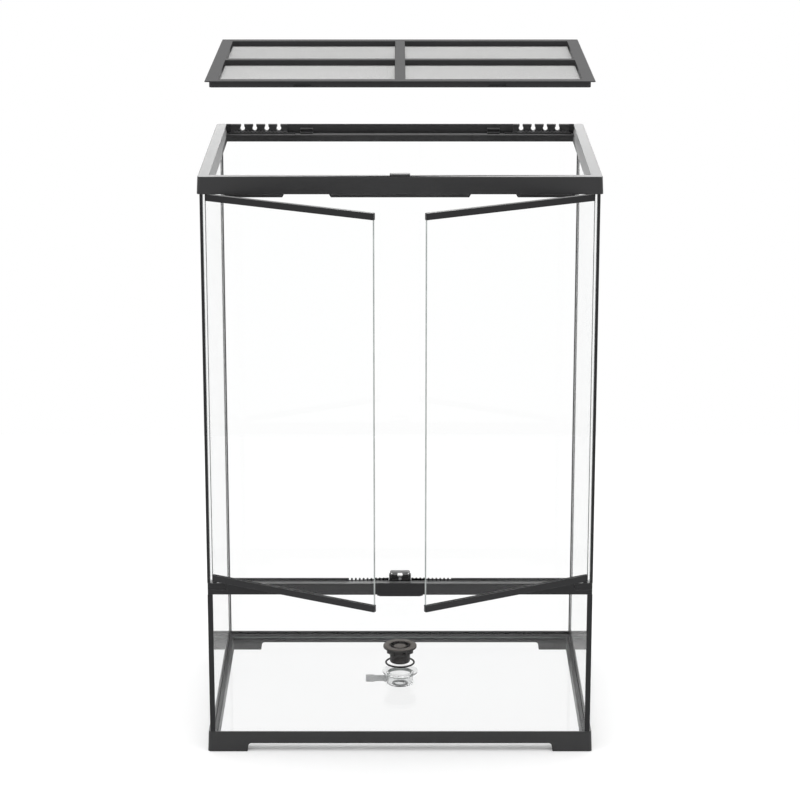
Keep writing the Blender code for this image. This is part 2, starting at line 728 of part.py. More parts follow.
def build_top_frame(shop, plastic):
    """Top frame: the ring that grips the panes, seats the lid and holds the doors' upper pins."""
    half_x = TANK_WIDTH / 2
    half_y = TANK_DEPTH / 2
    bm = block((-half_x, -half_y, TOP_BOTTOM), (half_x, half_y, TANK_HEIGHT), (TOP_DRAFT, TOP_DRAFT))
    round_edges(bm, upright, FRAME_CORNER, 4)
    rim = TANK_HEIGHT - GAP
    round_edges(bm, lambda edge: all(vert.co.z > rim for vert in edge.verts), TOP_EDGE, 2)
    frame = shop.place("top_frame", bm, plastic)
    rise = TOP_HEIGHT + 2 * CUT_PAST
    slant = TOP_INNER_DRAFT * rise / TOP_HEIGHT
    wide = TOP_OPENING_X + TOP_INNER_DRAFT * CUT_PAST / TOP_HEIGHT
    opening = block(
        (-wide, TOP_OPENING_FRONT, TOP_BOTTOM - CUT_PAST),
        (wide, TOP_OPENING_BACK, TANK_HEIGHT + CUT_PAST),
        bottom_inset=(slant, 0.0),
    )
    shop.combine(frame, "top_opening", opening)
    pocket = block(
        (-TOP_OPENING_X, TOP_OPENING_BACK - TOP_BACK_RAIL, LEDGE_Z),
        (TOP_OPENING_X, BACK_WALL_INNER, TANK_HEIGHT + CUT_PAST),
    )
    shop.combine(frame, "cable_ledge", pocket)
    groove_z = (TOP_BOTTOM - CUT_PAST, PANES_TOP + GAP)
    for word, side in SIDES:
        slot = mirrored(side, SIDE_INNER - GAP, SIDE_OUTER + GAP, (-BACK_OUTER - GAP, BACK_OUTER + GAP), groove_z)
        shop.combine(frame, f"{word}_pane_groove", block(*slot))
    back = block(
        (-SIDE_OUTER, BACK_INNER - GAP, groove_z[0]), (SIDE_OUTER, BACK_OUTER + GAP, groove_z[1])
    )
    shop.combine(frame, "back_pane_groove", back)
    build_door_stops(shop, frame)
    ridge_depth, ridge_height = GUIDE_RIDGE
    ridge_back = BACK_WALL_INNER - GAP - GATE_FOOT[0] - GAP
    for word, side in SIDES:
        near = GATE_NEAR - GATE_TRAVEL - CUT_PAST
        far = GATE_FAR + GATE_FOOT[1]
        ridge = mirrored(
            side, near, far, (ridge_back - ridge_depth, ridge_back), (LEDGE_Z - 0.001, LEDGE_Z + ridge_height)
        )
        shop.combine(frame, f"{word}_gate_guide", block(*ridge), "UNION")
        wall_y = (BACK_WALL_INNER - 0.001, half_y + CUT_PAST)
        cut_inlets(shop, frame, f"{word}_wall", side, 0.0, wall_y)
        bore_top = TOP_BOTTOM + BUSH_LENGTH + GAP
        bush_bore = rod(
            PIN_RADIUS + GAP + BUSH_WALL + GAP,
            TOP_BOTTOM - CUT_PAST,
            bore_top,
            centre=(side * HINGE_X, HINGE_Y),
            segments=20,
        )
        shop.combine(frame, f"{word}_bush_bore", bush_bore)
    key_x, key_y, key_z = LATCH_KEY
    latch_front = -half_y + LATCH_SET_BACK
    slot = block(
        (-key_x / 2 - GAP, latch_front + 0.001 - GAP, TANK_HEIGHT - key_z - GAP),
        (key_x / 2 + GAP, latch_front + 0.001 + key_y + LATCH_TRAVEL + GAP, TANK_HEIGHT + CUT_PAST),
    )
    shop.combine(frame, "latch_slot", slot)


def build_door_stops(shop, frame):
    """Stop strips under the front of the top frame, behind the closed doors, with two finger gaps."""
    stops = bmesh.new()
    y = (DOOR_STOP_FRONT, DOOR_STOP_FRONT + DOOR_STOP_THICK)
    z = (TOP_BOTTOM - DOOR_STOP_DROP, TOP_BOTTOM + DOOR_STOP_DROP / 2)
    slant = (DOOR_STOP_SLOPE, 0.0)
    add_block(stops, (-DOOR_STOP_INNER, y[0], z[0]), (DOOR_STOP_INNER, y[1], z[1]), bottom_inset=slant)
    for _, side in SIDES:
        add_block(stops, *mirrored(side, DOOR_STOP_NEAR, DOOR_STOP_OUTER, y, z), bottom_inset=slant)
    shop.combine(frame, "door_stops", stops, "UNION")


def build_bushes(shop, plastic):
    """Bushes in the top frame that the doors' upper pins turn in."""
    bore = PIN_RADIUS + GAP
    outer = bore + BUSH_WALL
    for word, side in SIDES:
        profile = [(outer, BUSH_LENGTH), (outer, 0.0), (bore, 0.0), (bore, BUSH_LENGTH)]
        place = Matrix.Translation((side * HINGE_X, HINGE_Y, TOP_BOTTOM))
        shop.turned(f"{word}_hinge_bush", profile, plastic, matrix=place)


def build_gates(shop, plastic):
    """Sliding gates behind the cable notches; moved inwards, they close the notches."""
    back = BACK_WALL_INNER - GAP
    front = back - GATE_THICK
    foot_depth, foot_height = GATE_FOOT
    bottom = LEDGE_Z + GAP
    outline = [
        (back, bottom),
        (back, TANK_HEIGHT - 2 * GAP),
        (front, TANK_HEIGHT - 2 * GAP),
        (front, bottom + foot_height),
        (back - foot_depth, bottom + foot_height),
        (back - foot_depth, bottom),
    ]
    groove_width, groove_depth = GATE_RIB_GROOVE
    for word, side in SIDES:
        ends = sorted((side * GATE_NEAR, side * GATE_FAR))
        gate = shop.place(f"{word}_cable_gate", extruded(outline, ends[0], ends[1], plane="YZ"), plastic)
        cut_inlets(shop, gate, f"{word}_gate", side, GATE_WIDER / 2, (front - 0.001, back + 0.001))
        grooves = bmesh.new()
        count = int(GATE_LENGTH / GATE_RIB_PITCH) - 1
        for index in range(count):
            near = GATE_NEAR + (index + 1) * GATE_RIB_PITCH
            low, high = mirrored(
                side,
                near,
                near + groove_width,
                (back - foot_depth - CUT_PAST, front - 0.001),
                (bottom + foot_height - groove_depth, bottom + foot_height + CUT_PAST),
            )
            add_block(grooves, low, high)
        shop.combine(gate, f"{word}_gate_grip", grooves)


def build_lid_holders(shop, plastic):
    """Two clips at the back and a sliding latch at the front, which hold the screen lid down."""
    back = BACK_WALL_INNER - GAP
    bottom = LEDGE_Z + GAP
    top = bottom + CLIP_HEIGHT
    nose, nose_thick = CLIP_NOSE
    outline = [
        (back, bottom),
        (back, top),
        (back - nose, top),
        (back - nose, top - nose_thick),
        (back - CLIP_BACK, top - nose_thick - 0.001),
        (back - CLIP_BACK, bottom + CLIP_FOOT),
        (back - CLIP_DEPTH, bottom + CLIP_FOOT),
        (back - CLIP_DEPTH, bottom),
    ]
    for word, side in SIDES:
        centre = side * CLIP_CENTRE
        clip = extruded(outline, centre - CLIP_WIDTH / 2, centre + CLIP_WIDTH / 2, plane="YZ")
        shop.place(f"{word}_lid_clip", clip, plastic)
    front = -TANK_DEPTH / 2 + LATCH_SET_BACK
    hook, hook_thick = LATCH_HOOK
    floor = TANK_HEIGHT + GAP
    roof = floor + LATCH_HEIGHT
    outline = [
        (front, floor),
        (front + LATCH_BASE, floor),
        (front + LATCH_BASE, roof - hook_thick),
        (front + LATCH_BASE + hook, roof - hook_thick),
        (front + LATCH_BASE + hook, roof),
        (front, roof),
    ]
    latch = shop.place("lid_latch", extruded(outline, -LATCH_WIDTH / 2, LATCH_WIDTH / 2, plane="YZ"), plastic)
    key_x, key_y, key_z = LATCH_KEY
    key = block(
        (-key_x / 2, front + 0.001, TANK_HEIGHT - key_z), (key_x / 2, front + 0.001 + key_y, floor + 0.001)
    )
    shop.combine(latch, "latch_key", key, "UNION")


def door_box(side, near, far, y, z):
    """Corners of a box in a door's own frame, with near and far measured from the hinge to the meeting edge."""
    return mirrored(-side, near, far, y, z)


def build_doors(shop, plastic, glass, steel):
    """Two doors, each a pane between a top and a bottom rail, on a lower and an upper pin."""
    half_rail = DOOR_RAIL_THICK / 2
    half_pane = DOOR_PANE / 2
    pane_bottom = DOOR_BOTTOM + DOOR_BOTTOM_RAIL - DOOR_PANE_GRIP
    pane_top = DOOR_TOP - DOOR_TOP_RAIL + DOOR_PANE_GRIP
    pane_edge = half_rail - GAP
    pins = {
        "lower": (MID_TOP - PIN_IN_BLOCK, DOOR_BOTTOM + PIN_IN_RAIL),
        "upper": (DOOR_TOP - PIN_IN_RAIL, TOP_BOTTOM + PIN_IN_FRAME),
    }
    rails = {
        "bottom": (DOOR_BOTTOM, DOOR_BOTTOM + DOOR_BOTTOM_RAIL),
        "top": (DOOR_TOP - DOOR_TOP_RAIL, DOOR_TOP),
    }
    slots = {
        "bottom": (pane_bottom - GAP, rails["bottom"][1] + CUT_PAST),
        "top": (rails["top"][0] - CUT_PAST, pane_top + GAP),
    }
    bores = {
        "bottom": (DOOR_BOTTOM - CUT_PAST, DOOR_BOTTOM + PIN_IN_RAIL + GAP),
        "top": (DOOR_TOP - PIN_IN_RAIL - GAP, DOOR_TOP + CUT_PAST),
    }
    for word, side in SIDES:
        swing = shop.pivot(
            f"{word}_door_axis", (side * HINGE_X, HINGE_Y, 0.0), (0.0, 0.0, side * math.radians(DOOR_OPEN))
        )
        pane = block(*door_box(side, -pane_edge, DOOR_PANE_LENGTH, (-half_pane, half_pane), (pane_bottom, pane_top)))
        shop.soften(shop.place(f"{word}_door_pane", pane, glass, swing), GROUND_EDGE)
        for level, z in rails.items():
            bm = block(*door_box(side, -half_rail, DOOR_RAIL_LENGTH, (-half_rail, half_rail), z))
            hinge_end = [edge for edge in bm.edges if upright(edge) and -side * edge.verts[0].co.x < 0]
            bmesh.ops.bevel(bm, geom=hinge_end, offset=RAIL_END_ROUND, segments=5, profile=0.5, affect="EDGES")
            tip = [edge for edge in bm.edges if upright(edge) and -side * edge.verts[0].co.x > DOOR_PANE_LENGTH]
            bmesh.ops.bevel(bm, geom=tip, offset=RAIL_TIP_ROUND, segments=3, profile=0.5, affect="EDGES")
            rail = shop.place(f"{word}_door_{level}_rail", bm, plastic, swing, smooth=True)
            if level == "bottom":
                build_catches(shop, rail, word, side)
            slot_y = (-half_pane - GAP, half_pane + GAP)
            slot = door_box(side, -half_rail - CUT_PAST, DOOR_PANE_LENGTH + GAP, slot_y, slots[level])
            shop.combine(rail, f"{word}_{level}_rail_slot", block(*slot))
            bore = rod(PIN_RADIUS + GAP, *bores[level])
            shop.combine(rail, f"{word}_{level}_rail_bore", bore)
        for level, (start, end) in pins.items():
            shop.place(f"{word}_{level}_hinge_pin", rod(PIN_RADIUS, start, end), steel, swing, smooth=True)


def build_catches(shop, rail, word, side):
    """Grooved lug behind the free end of a door's bottom rail, which the lock's bar drops into."""
    half_rail = DOOR_RAIL_THICK / 2
    near = HINGE_X - CATCH_OUTER
    far = HINGE_X - CATCH_INNER
    lug = block(
        *door_box(side, near, far, (half_rail - 0.0008, half_rail + CATCH_REACH), (CATCH_BOTTOM, CATCH_TOP))
    )
    shop.combine(rail, f"{word}_catch", lug, "UNION")
    front, width, depth = CATCH_GROOVE
    groove_y = (half_rail + front, half_rail + front + width)
    groove_z = (CATCH_TOP - depth, CATCH_TOP + CUT_PAST)
    groove = block(*door_box(side, near - CUT_PAST, far + CUT_PAST, groove_y, groove_z))
    shop.combine(rail, f"{word}_catch_groove", groove)


def build_lock(shop, plastic, steel):
    """Door lock: a housing screwed to the middle rail, and a bar that drops into the catches of both doors."""
    half = LOCK_WIDTH / 2
    body = block((-half, LOCK_FRONT, LOCK_BOTTOM), (half, LOCK_BACK, LOCK_BODY_TOP))
    housing = shop.place("lock_housing", body, plastic)
    cheek_y = (LOCK_FRONT, LOCK_BACK)
    cheek_z = (LOCK_BODY_TOP - LOCK_CHEEK, LOCK_BOTTOM + LOCK_CHEEK_HEIGHT)
    raised = bmesh.new()
    for _, side in SIDES:
        add_block(raised, *mirrored(side, half - LOCK_CHEEK, half, cheek_y, cheek_z))
    shop.combine(housing, "lock_cheeks", raised, "UNION")
    pockets = bmesh.new()
    pocket_y = (LOCK_FRONT - CUT_PAST, LOCK_FRONT + CATCH_REACH - LOCK_BEHIND_DOOR + CATCH_ROOM)
    pocket_z = (CATCH_BOTTOM - CATCH_ROOM, LOCK_BODY_TOP + CUT_PAST)
    for _, side in SIDES:
        add_block(
            pockets, *mirrored(side, CATCH_INNER - CATCH_ROOM, CATCH_OUTER + CATCH_ROOM, pocket_y, pocket_z)
        )
    shop.combine(housing, "catch_pockets", pockets)
    sight = block(
        (-CATCH_INNER, LOCK_FRONT - CUT_PAST, LOCK_BODY_TOP - LOCK_SIGHT_DROP),
        (CATCH_INNER, LOCK_BACK + CUT_PAST, LOCK_BODY_TOP + CUT_PAST),
    )
    shop.combine(housing, "sight_gap", sight)
    tongue_depth, tongue_reach = BAR_TONGUE
    tongue_far = half - LOCK_CHEEK + tongue_reach
    tongue_front = (LOCK_FRONT + LOCK_BACK) / 2 - tongue_depth / 2
    guides = bmesh.new()
    guide_y = (tongue_front - GAP, tongue_front + tongue_depth + GAP)
    guide_z = (LOCK_BODY_TOP - LOCK_TRAVEL, LOCK_BOTTOM + LOCK_CHEEK_HEIGHT + CUT_PAST)
    for _, side in SIDES:
        add_block(
            guides, *mirrored(side, half - LOCK_CHEEK - 3 * GAP, tongue_far + GAP, guide_y, guide_z)
        )
    shop.combine(housing, "bar_guides", guides)
    boss_half, boss_height = SCREW_BOSS
    boss_room = block(
        (-boss_half - GAP, BOSS_FRONT - GAP, LOCK_BOTTOM - CUT_PAST),
        (boss_half + GAP, LOCK_BACK + CUT_PAST, MID_TOP + boss_height + GAP),
    )
    shop.combine(housing, "boss_room", boss_room)
    screw_z = LOCK_BOTTOM + SCREW_HEIGHT
    head_radius, head_height = SCREW_HEAD
    head_back = LOCK_FRONT + head_height + GAP
    sink = rod(head_radius + GAP, LOCK_FRONT - CUT_PAST, head_back + GAP, "Y", (0.0, screw_z))
    shop.combine(housing, "screw_sink", sink)
    bore = rod(SCREW_RADIUS + GAP, LOCK_FRONT, BOSS_FRONT, "Y", (0.0, screw_z), 12)
    shop.combine(housing, "screw_way", bore)
    screw = shop.place(
        "lock_screw", rod(head_radius, LOCK_FRONT + GAP, head_back, "Y", (0.0, screw_z)), steel, smooth=True
    )
    shank = rod(SCREW_RADIUS, LOCK_FRONT + head_height / 2, MID_BACK - 0.0015, "Y", (0.0, screw_z), 12)
    shop.combine(screw, "screw_shank", shank, "UNION")
    build_lock_bar(shop, plastic, tongue_far, (tongue_front, tongue_front + tongue_depth))


def build_lock_bar(shop, plastic, tongue_far, tongue_y):
    """Lock bar, drawn in its locked place and raised to its open one."""
    raised = shop.pivot("lock_bar_lift", (0.0, 0.0, LOCK_TRAVEL))
    half = LOCK_WIDTH / 2 - LOCK_CHEEK - GAP
    front = LOCK_FRONT + BAR_TOOTH_GAP
    seat = LOCK_BODY_TOP + GAP
    plate = block((-half, front, seat), (half, front + BAR_DEPTH, seat + BAR_PLATE))
    bar = shop.place("lock_bar", plate, plastic, raised)
    teeth = bmesh.new()
    tongues = bmesh.new()
    tooth_y = (GROOVE_FRONT + BAR_TOOTH_GAP, GROOVE_BACK - BAR_TOOTH_GAP)
    tooth_z = (CATCH_TOP - CATCH_GROOVE[2] + 2 * BAR_TOOTH_GAP, seat + BAR_PLATE / 2)
    tongue_z = (LOCK_BODY_TOP - LOCK_TRAVEL + GAP, seat + BAR_PLATE)
    for _, side in SIDES:
        add_block(teeth, *mirrored(side, CATCH_INNER - 2 * BAR_TOOTH_GAP, CATCH_OUTER, tooth_y, tooth_z))
        add_block(tongues, *mirrored(side, half - GAP, tongue_far, tongue_y, tongue_z))
    shop.combine(bar, "bar_teeth", teeth, "UNION")
    shop.combine(bar, "bar_tongues", tongues, "UNION")


def screen_openings(side, window_x, window_y, screen_z):
    """Cutter for a plain grid of openings, which stands for the weave of one screen."""
    cutter = bmesh.new()
    wide, long = SCREEN_OPENINGS
    pitch_x = (window_x[1] - window_x[0] + SCREEN_STRIP) / wide
    pitch_y = (window_y[1] - window_y[0] + SCREEN_STRIP) / long
    through = (screen_z[0] - CUT_PAST, screen_z[1] + CUT_PAST)
    for column in range(wide):
        near = window_x[0] + column * pitch_x
        for line in range(long):
            front = window_y[0] + line * pitch_y
            spot = (front, front + pitch_y - SCREEN_STRIP)
            low, high = mirrored(side, near, near + pitch_x - SCREEN_STRIP, spot, through)
            add_block(cutter, low, high)
    return cutter


def build_lid(shop, plastic, mesh_metal):
    """Screen lid, drawn on its seat and lifted: a flanged frame with a cross of bars and four screens."""
    lift = shop.pivot("lid_lift", (0.0, 0.0, LID_LIFT))
    half_x = LID_HALF_WIDTH
    half_y = LID_HALF_DEPTH
    skirt_x = half_x - LID_OVERHANG
    skirt_y = half_y - LID_OVERHANG
    flange = block((-half_x, -half_y, LID_SEAT), (half_x, half_y, LID_TOP))
    round_edges(flange, upright, LID_CORNER / 2, 3)
    frame = shop.place("lid_frame", flange, plastic, lift)
    skirt = block((-skirt_x, -skirt_y, LID_BOTTOM), (skirt_x, skirt_y, LID_TOP - LID_FLANGE / 2))
    round_edges(skirt, upright, LID_CORNER, 4)
    shop.combine(frame, "lid_skirt", skirt, "UNION")
    windows = bmesh.new()
    recesses = bmesh.new()
    slots = bmesh.new()
    window_x = (LID_BAR / 2, half_x - LID_SIDE_RAIL)
    window_y = (LID_BAR / 2, half_y - LID_END_RAIL)
    screen_bottom = LID_BOTTOM + SCREEN_RECESS - GAP - SCREEN
    slot_wide, slot_high, slot_deep = LID_SLOT
    slot_top = LID_TOP - LID_SLOT_DROP
    for row, end in (("front", -1), ("back", 1)):
        ends = sorted((end * window_y[0], end * window_y[1]))
        lap = SCREEN_LAP
        room = SCREEN_LAP + GAP
        for word, side in SIDES:
            low, high = mirrored(side, *window_x, ends, (LID_BOTTOM - CUT_PAST, LID_TOP + CUT_PAST))
            add_block(windows, low, high)
            recess_z = (LID_BOTTOM - CUT_PAST, LID_BOTTOM + SCREEN_RECESS)
            low, high = mirrored(
                side, window_x[0] - room, window_x[1] + room, (ends[0] - room, ends[1] + room), recess_z
            )
            add_block(recesses, low, high)
            screen_z = (screen_bottom, screen_bottom + SCREEN)
            low, high = mirrored(
                side, window_x[0] - lap, window_x[1] + lap, (ends[0] - lap, ends[1] + lap), screen_z
            )
            screen = shop.place(f"{row}_{word}_screen", block(low, high), mesh_metal, lift)
            meshes = screen_openings(side, window_x, ends, screen_z)
            shop.combine(screen, f"{row}_{word}_screen_openings", meshes)
            slot_y = sorted((end * (skirt_y - slot_deep), end * (skirt_y + CUT_PAST)))
            near = LID_SLOT_CENTRE - slot_wide / 2
            low, high = mirrored(side, near, near + slot_wide, slot_y, (slot_top - slot_high, slot_top))
            add_block(slots, low, high)
    shop.combine(frame, "lid_windows", windows)
    shop.combine(frame, "screen_recesses", recesses)
    shop.combine(frame, "lid_slots", slots)


def build_drain(shop, clear, grey, black, rubber):
    """Floor drain: a socket through the floor, its outlet ring and hose spigot, a seal and a strainer."""
    axis = Matrix.Translation((0.0, DRAIN_Y, 0.0))
    inner = SOCKET_RADIUS - SOCKET_WALL
    spout_inner = SPOUT_RADIUS - SPOUT_WALL
    underside = SOCKET_FLOOR_Z - SOCKET_FLOOR
    profile = [
        (SOCKET_FLANGE, SOCKET_TOP),
        (SOCKET_FLANGE, FLOOR_TOP + GAP),
        (SOCKET_RADIUS, FLOOR_TOP + GAP),
        (SOCKET_RADIUS, underside),
        (SPOUT_RADIUS, underside),
        (SPOUT_RADIUS, SPOUT_TIP_Z),
        (spout_inner, SPOUT_TIP_Z),
        (spout_inner, SOCKET_FLOOR_Z),
        (inner, SOCKET_FLOOR_Z),
        (inner, SOCKET_TOP),
    ]
    socket = shop.turned("drain_socket", profile, clear, matrix=axis)
    notches = bmesh.new()
    lug_near, lug_far, lug_width = LUG
    notch_bottom = STRAINER_SEAT_Z - LUG_LENGTH - LUG_CLEARANCE
    for index in range(LUGS):
        turn = Matrix.Rotation(math.tau * (index + 0.5) / LUGS, 4, "Z")
        corners = add_block(
            notches,
            (lug_near - LUG_CLEARANCE, -lug_width / 2 - LUG_CLEARANCE, notch_bottom),
            (lug_far + LUG_CLEARANCE, lug_width / 2 + LUG_CLEARANCE, SOCKET_TOP + CUT_PAST),
        )
        bmesh.ops.transform(notches, matrix=axis @ turn, verts=corners)
    shop.combine(socket, "lug_notches", notches)
    side_bore = rod(SPIGOT_BORE, -SOCKET_RADIUS - CUT_PAST, -inner / 2, "X", (DRAIN_Y, SPIGOT_Z))
    shop.combine(socket, "spigot_way", side_bore)
    ring_inner = SPOUT_RADIUS + GAP
    ring_top = underside - GAP
    ring_bottom = ring_top - OUTLET_RING_HEIGHT
    ring = [(OUTLET_RING, ring_top), (OUTLET_RING, ring_bottom), (ring_inner, ring_bottom), (ring_inner, ring_top)]
    shop.turned("drain_outlet_ring", ring, grey, matrix=axis)
    build_spigot(shop, grey)
    build_seal(shop, rubber)
    build_strainer(shop, black)


def build_spigot(shop, grey):
    """Hose spigot on the left of the socket, with a thicker outer end."""
    start = SOCKET_RADIUS - 0.002
    end = SPIGOT_REACH
    profile = [
        (SPIGOT_RADIUS - 0.0006, end),
        (SPIGOT_RADIUS, end - 0.001),
        (SPIGOT_RADIUS, end - SPIGOT_END),
        (SPIGOT_NECK, end - SPIGOT_END - 0.003),
        (SPIGOT_NECK, SOCKET_RADIUS + 0.006),
        (SPIGOT_RADIUS, SOCKET_RADIUS + 0.004),
        (SPIGOT_RADIUS, start),
        (SPIGOT_BORE, start),
        (SPIGOT_BORE, end),
    ]
    place = Matrix.Translation((0.0, DRAIN_Y, SPIGOT_Z)) @ Matrix.Rotation(-math.pi / 2, 4, "Y")
    spigot = shop.turned("drain_spigot", profile, grey, matrix=place)
    face = rod(
        SOCKET_RADIUS + GAP, 0.0, PANE_SEAT + CUT_PAST, centre=(0.0, DRAIN_Y), segments=2 * DRAIN_STEPS
    )
    shop.combine(spigot, "socket_face", face)


def build_seal(shop, rubber):
    """Seal ring of the strainer, drawn on its seat and lifted a little."""
    lift = shop.pivot("seal_lift", (0.0, DRAIN_Y, SEAL_LIFT))
    sides = 10
    profile = [
        (
            SEAL_RADIUS + SEAL_CORD * math.cos(-math.tau * index / sides),
            SEAL_SEAT_Z + SEAL_CORD * math.sin(-math.tau * index / sides),
        )
        for index in range(sides)
    ]
    shop.turned("drain_seal", profile, rubber, lift)


def build_strainer(shop, black):
    """Strainer that screws into the socket: a flange with lugs, a slotted well, side windows and a thread."""
    lift = shop.pivot("strainer_lift", (0.0, DRAIN_Y, STRAINER_LIFT))
    bottom = STRAINER_SEAT_Z
    top = bottom + STRAINER_FLANGE_THICK
    tip = bottom - STRAINER_SHAFT_LENGTH
    well = top - STRAINER_WELL
    bore = STRAINER_SHAFT - STRAINER_WALL
    well_radius = GRATE_SLOT[1] + 0.0005
    thread = []
    start = tip + THREAD_TURNS * THREAD_PITCH + 0.001
    for index in range(THREAD_TURNS):
        crest = start - index * THREAD_PITCH
        thread.append((STRAINER_SHAFT - THREAD_DEPTH, crest))
        thread.append((STRAINER_SHAFT, crest - THREAD_PITCH / 2))
    profile = [
        (well_radius, top),
        (STRAINER_FLANGE - 0.0005, top),
        (STRAINER_FLANGE, top - 0.0005),
        (STRAINER_FLANGE, bottom),
        (STRAINER_SHAFT, bottom),
        (STRAINER_SHAFT, start + THREAD_PITCH / 2),
        *thread,
        (STRAINER_SHAFT - THREAD_DEPTH, tip),
        (bore, tip),
        (bore, well - STRAINER_GRATE),
        (0.0, well - STRAINER_GRATE),
        (0.0, well),
        (well_radius, well),
    ]
    strainer = shop.turned("drain_strainer", profile, black, lift)
    slots = bmesh.new()
    slot_near, slot_far, slot_width = GRATE_SLOT
    windows = bmesh.new()
    window_width, window_drop, window_height = WINDOW
    lugs = bmesh.new()
    lug_near, lug_far, lug_width = LUG
    for index in range(GRATE_SLOTS):
        turn = Matrix.Rotation(math.tau * index / GRATE_SLOTS, 4, "Z")
        corners = add_block(
            slots,
            (slot_near, -slot_width / 2, well - GRATE_SLOT_DEPTH),
            (slot_far, slot_width / 2, well + STRAINER_WELL / 2),
        )
        bmesh.ops.transform(slots, matrix=turn, verts=corners)
    for index in range(WINDOWS):
        turn = Matrix.Rotation(math.tau * (index + 0.5) / WINDOWS, 4, "Z")
        corners = add_block(
            windows,
            (bore - 0.002, -window_width / 2, top - window_drop - window_height),
            (STRAINER_SHAFT + 0.002, window_width / 2, top - window_drop),
        )
        bmesh.ops.transform(windows, matrix=turn, verts=corners)
    for index in range(LUGS):
        turn = Matrix.Rotation(math.tau * (index + 0.5) / LUGS, 4, "Z")
        corners = add_block(
            lugs, (lug_near, -lug_width / 2, bottom - LUG_LENGTH), (lug_far, lug_width / 2, bottom + 0.001)
        )
        bmesh.ops.transform(lugs, matrix=turn, verts=corners)
    shop.combine(strainer, "grate_slots", slots)
    shop.combine(strainer, "strainer_windows", windows)
    shop.combine(strainer, "strainer_lugs", lugs, "UNION")


def main():
    """Build every sub-part of the tank."""
    clear_scene()
    shop = Workshop()
    frame_plastic = new_material("frame_plastic", (0.050, 0.050, 0.052), 0.42)
    rail_plastic = new_material("rail_plastic", (0.036, 0.036, 0.038), 0.36)
    trim_plastic = new_material("trim_plastic", (0.012, 0.012, 0.013), 0.40)
    glass = new_material("tank_glass", (0.93, 0.97, 0.96), 0.02, transmission=1.0)
    silicone = new_material("silicone", (0.014, 0.014, 0.015), 0.45)
    steel = new_material("pin_steel", (0.62, 0.62, 0.63), 0.28, metallic=1.0)
    screen = new_material("screen_metal", (0.70, 0.70, 0.70), 0.35, metallic=0.9)
    clear = new_material("clear_plastic", (0.93, 0.95, 0.95), 0.08, transmission=0.9)
    grey = new_material("grey_plastic", (0.55, 0.56, 0.57), 0.35)
    brown = new_material("strainer_plastic", (0.085, 0.075, 0.068), 0.48)
    rubber = new_material("seal_rubber", (0.012, 0.012, 0.012), 0.55)
    build_base_frame(shop, frame_plastic)
    build_panes(shop, glass)
    build_beads(shop, silicone)
    build_middle_rail(shop, rail_plastic)
    build_hinge_blocks(shop, rail_plastic)
    build_cover_plate(shop, trim_plastic)
    build_edge_trims(shop, trim_plastic)
    build_top_frame(shop, frame_plastic)
    build_bushes(shop, grey)
    build_gates(shop, frame_plastic)
    build_lid_holders(shop, frame_plastic)
    build_doors(shop, rail_plastic, glass, steel)
    build_lock(shop, rail_plastic, steel)
    build_lid(shop, frame_plastic, screen)
    build_drain(shop, clear, grey, brown, rubber)


main()
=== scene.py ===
"""Finished look of the glass paludarium: frames, panes, doors, woven screen lid and floor drain.

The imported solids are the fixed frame. Each sub-assembly below is a class that softens the edges of
its solids, adds the detail that the solids leave out, and gives every surface its finish. +X is to
the right, -Y to the front and +Z up, and all lengths are in metres.
"""

from __future__ import annotations

import json
import logging
import math
from dataclasses import dataclass, field
from enum import Enum
from typing import Any, Union

import bmesh
import bpy
from mathutils import Matrix, Vector

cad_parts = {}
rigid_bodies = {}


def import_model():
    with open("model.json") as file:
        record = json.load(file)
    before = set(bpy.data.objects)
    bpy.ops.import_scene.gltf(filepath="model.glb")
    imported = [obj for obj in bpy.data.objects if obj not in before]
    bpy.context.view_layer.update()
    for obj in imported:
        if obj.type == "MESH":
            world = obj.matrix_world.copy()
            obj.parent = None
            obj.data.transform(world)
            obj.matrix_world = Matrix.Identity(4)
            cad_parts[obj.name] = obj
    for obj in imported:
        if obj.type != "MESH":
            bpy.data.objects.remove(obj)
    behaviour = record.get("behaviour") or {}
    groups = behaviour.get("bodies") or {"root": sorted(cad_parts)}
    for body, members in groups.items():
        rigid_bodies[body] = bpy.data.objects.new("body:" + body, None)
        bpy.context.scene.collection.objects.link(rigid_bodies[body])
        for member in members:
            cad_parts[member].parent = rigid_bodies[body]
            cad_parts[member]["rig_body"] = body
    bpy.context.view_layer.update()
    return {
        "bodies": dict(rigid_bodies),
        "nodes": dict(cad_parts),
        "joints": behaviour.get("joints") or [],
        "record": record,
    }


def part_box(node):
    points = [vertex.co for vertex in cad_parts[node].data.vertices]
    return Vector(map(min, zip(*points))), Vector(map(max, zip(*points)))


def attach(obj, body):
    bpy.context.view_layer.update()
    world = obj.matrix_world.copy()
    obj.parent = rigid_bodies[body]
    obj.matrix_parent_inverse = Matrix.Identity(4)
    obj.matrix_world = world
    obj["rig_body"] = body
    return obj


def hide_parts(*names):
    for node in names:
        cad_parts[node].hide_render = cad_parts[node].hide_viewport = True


LOG = logging.getLogger("paludarium")
Triple = tuple[float, float, float]
Colour = Triple
Profile = tuple[tuple[float, float], ...]
Shape = bmesh.types.BMesh
Socket = bpy.types.NodeSocket
Value = Union[float, "Signal", Socket]

# Corners closer together than this are one corner.
SAME_PLACE = 0.000002
# Corners closer to the axis of a turned part than this are on it.
ON_AXIS = 0.000001
# Cosine of the angle within which two directions count as one.
ALIGNED = 0.9
# The kinds of ray by which something looks at a surface: straight, in a mirror or through glass.
SIGHT = ("Is Camera Ray", "Is Glossy Ray", "Is Transmission Ray")
WHITE: Colour = (1.0, 1.0, 1.0)


class Side(Enum):
    """The two hands of the tank."""

    LEFT = "left"
    RIGHT = "right"


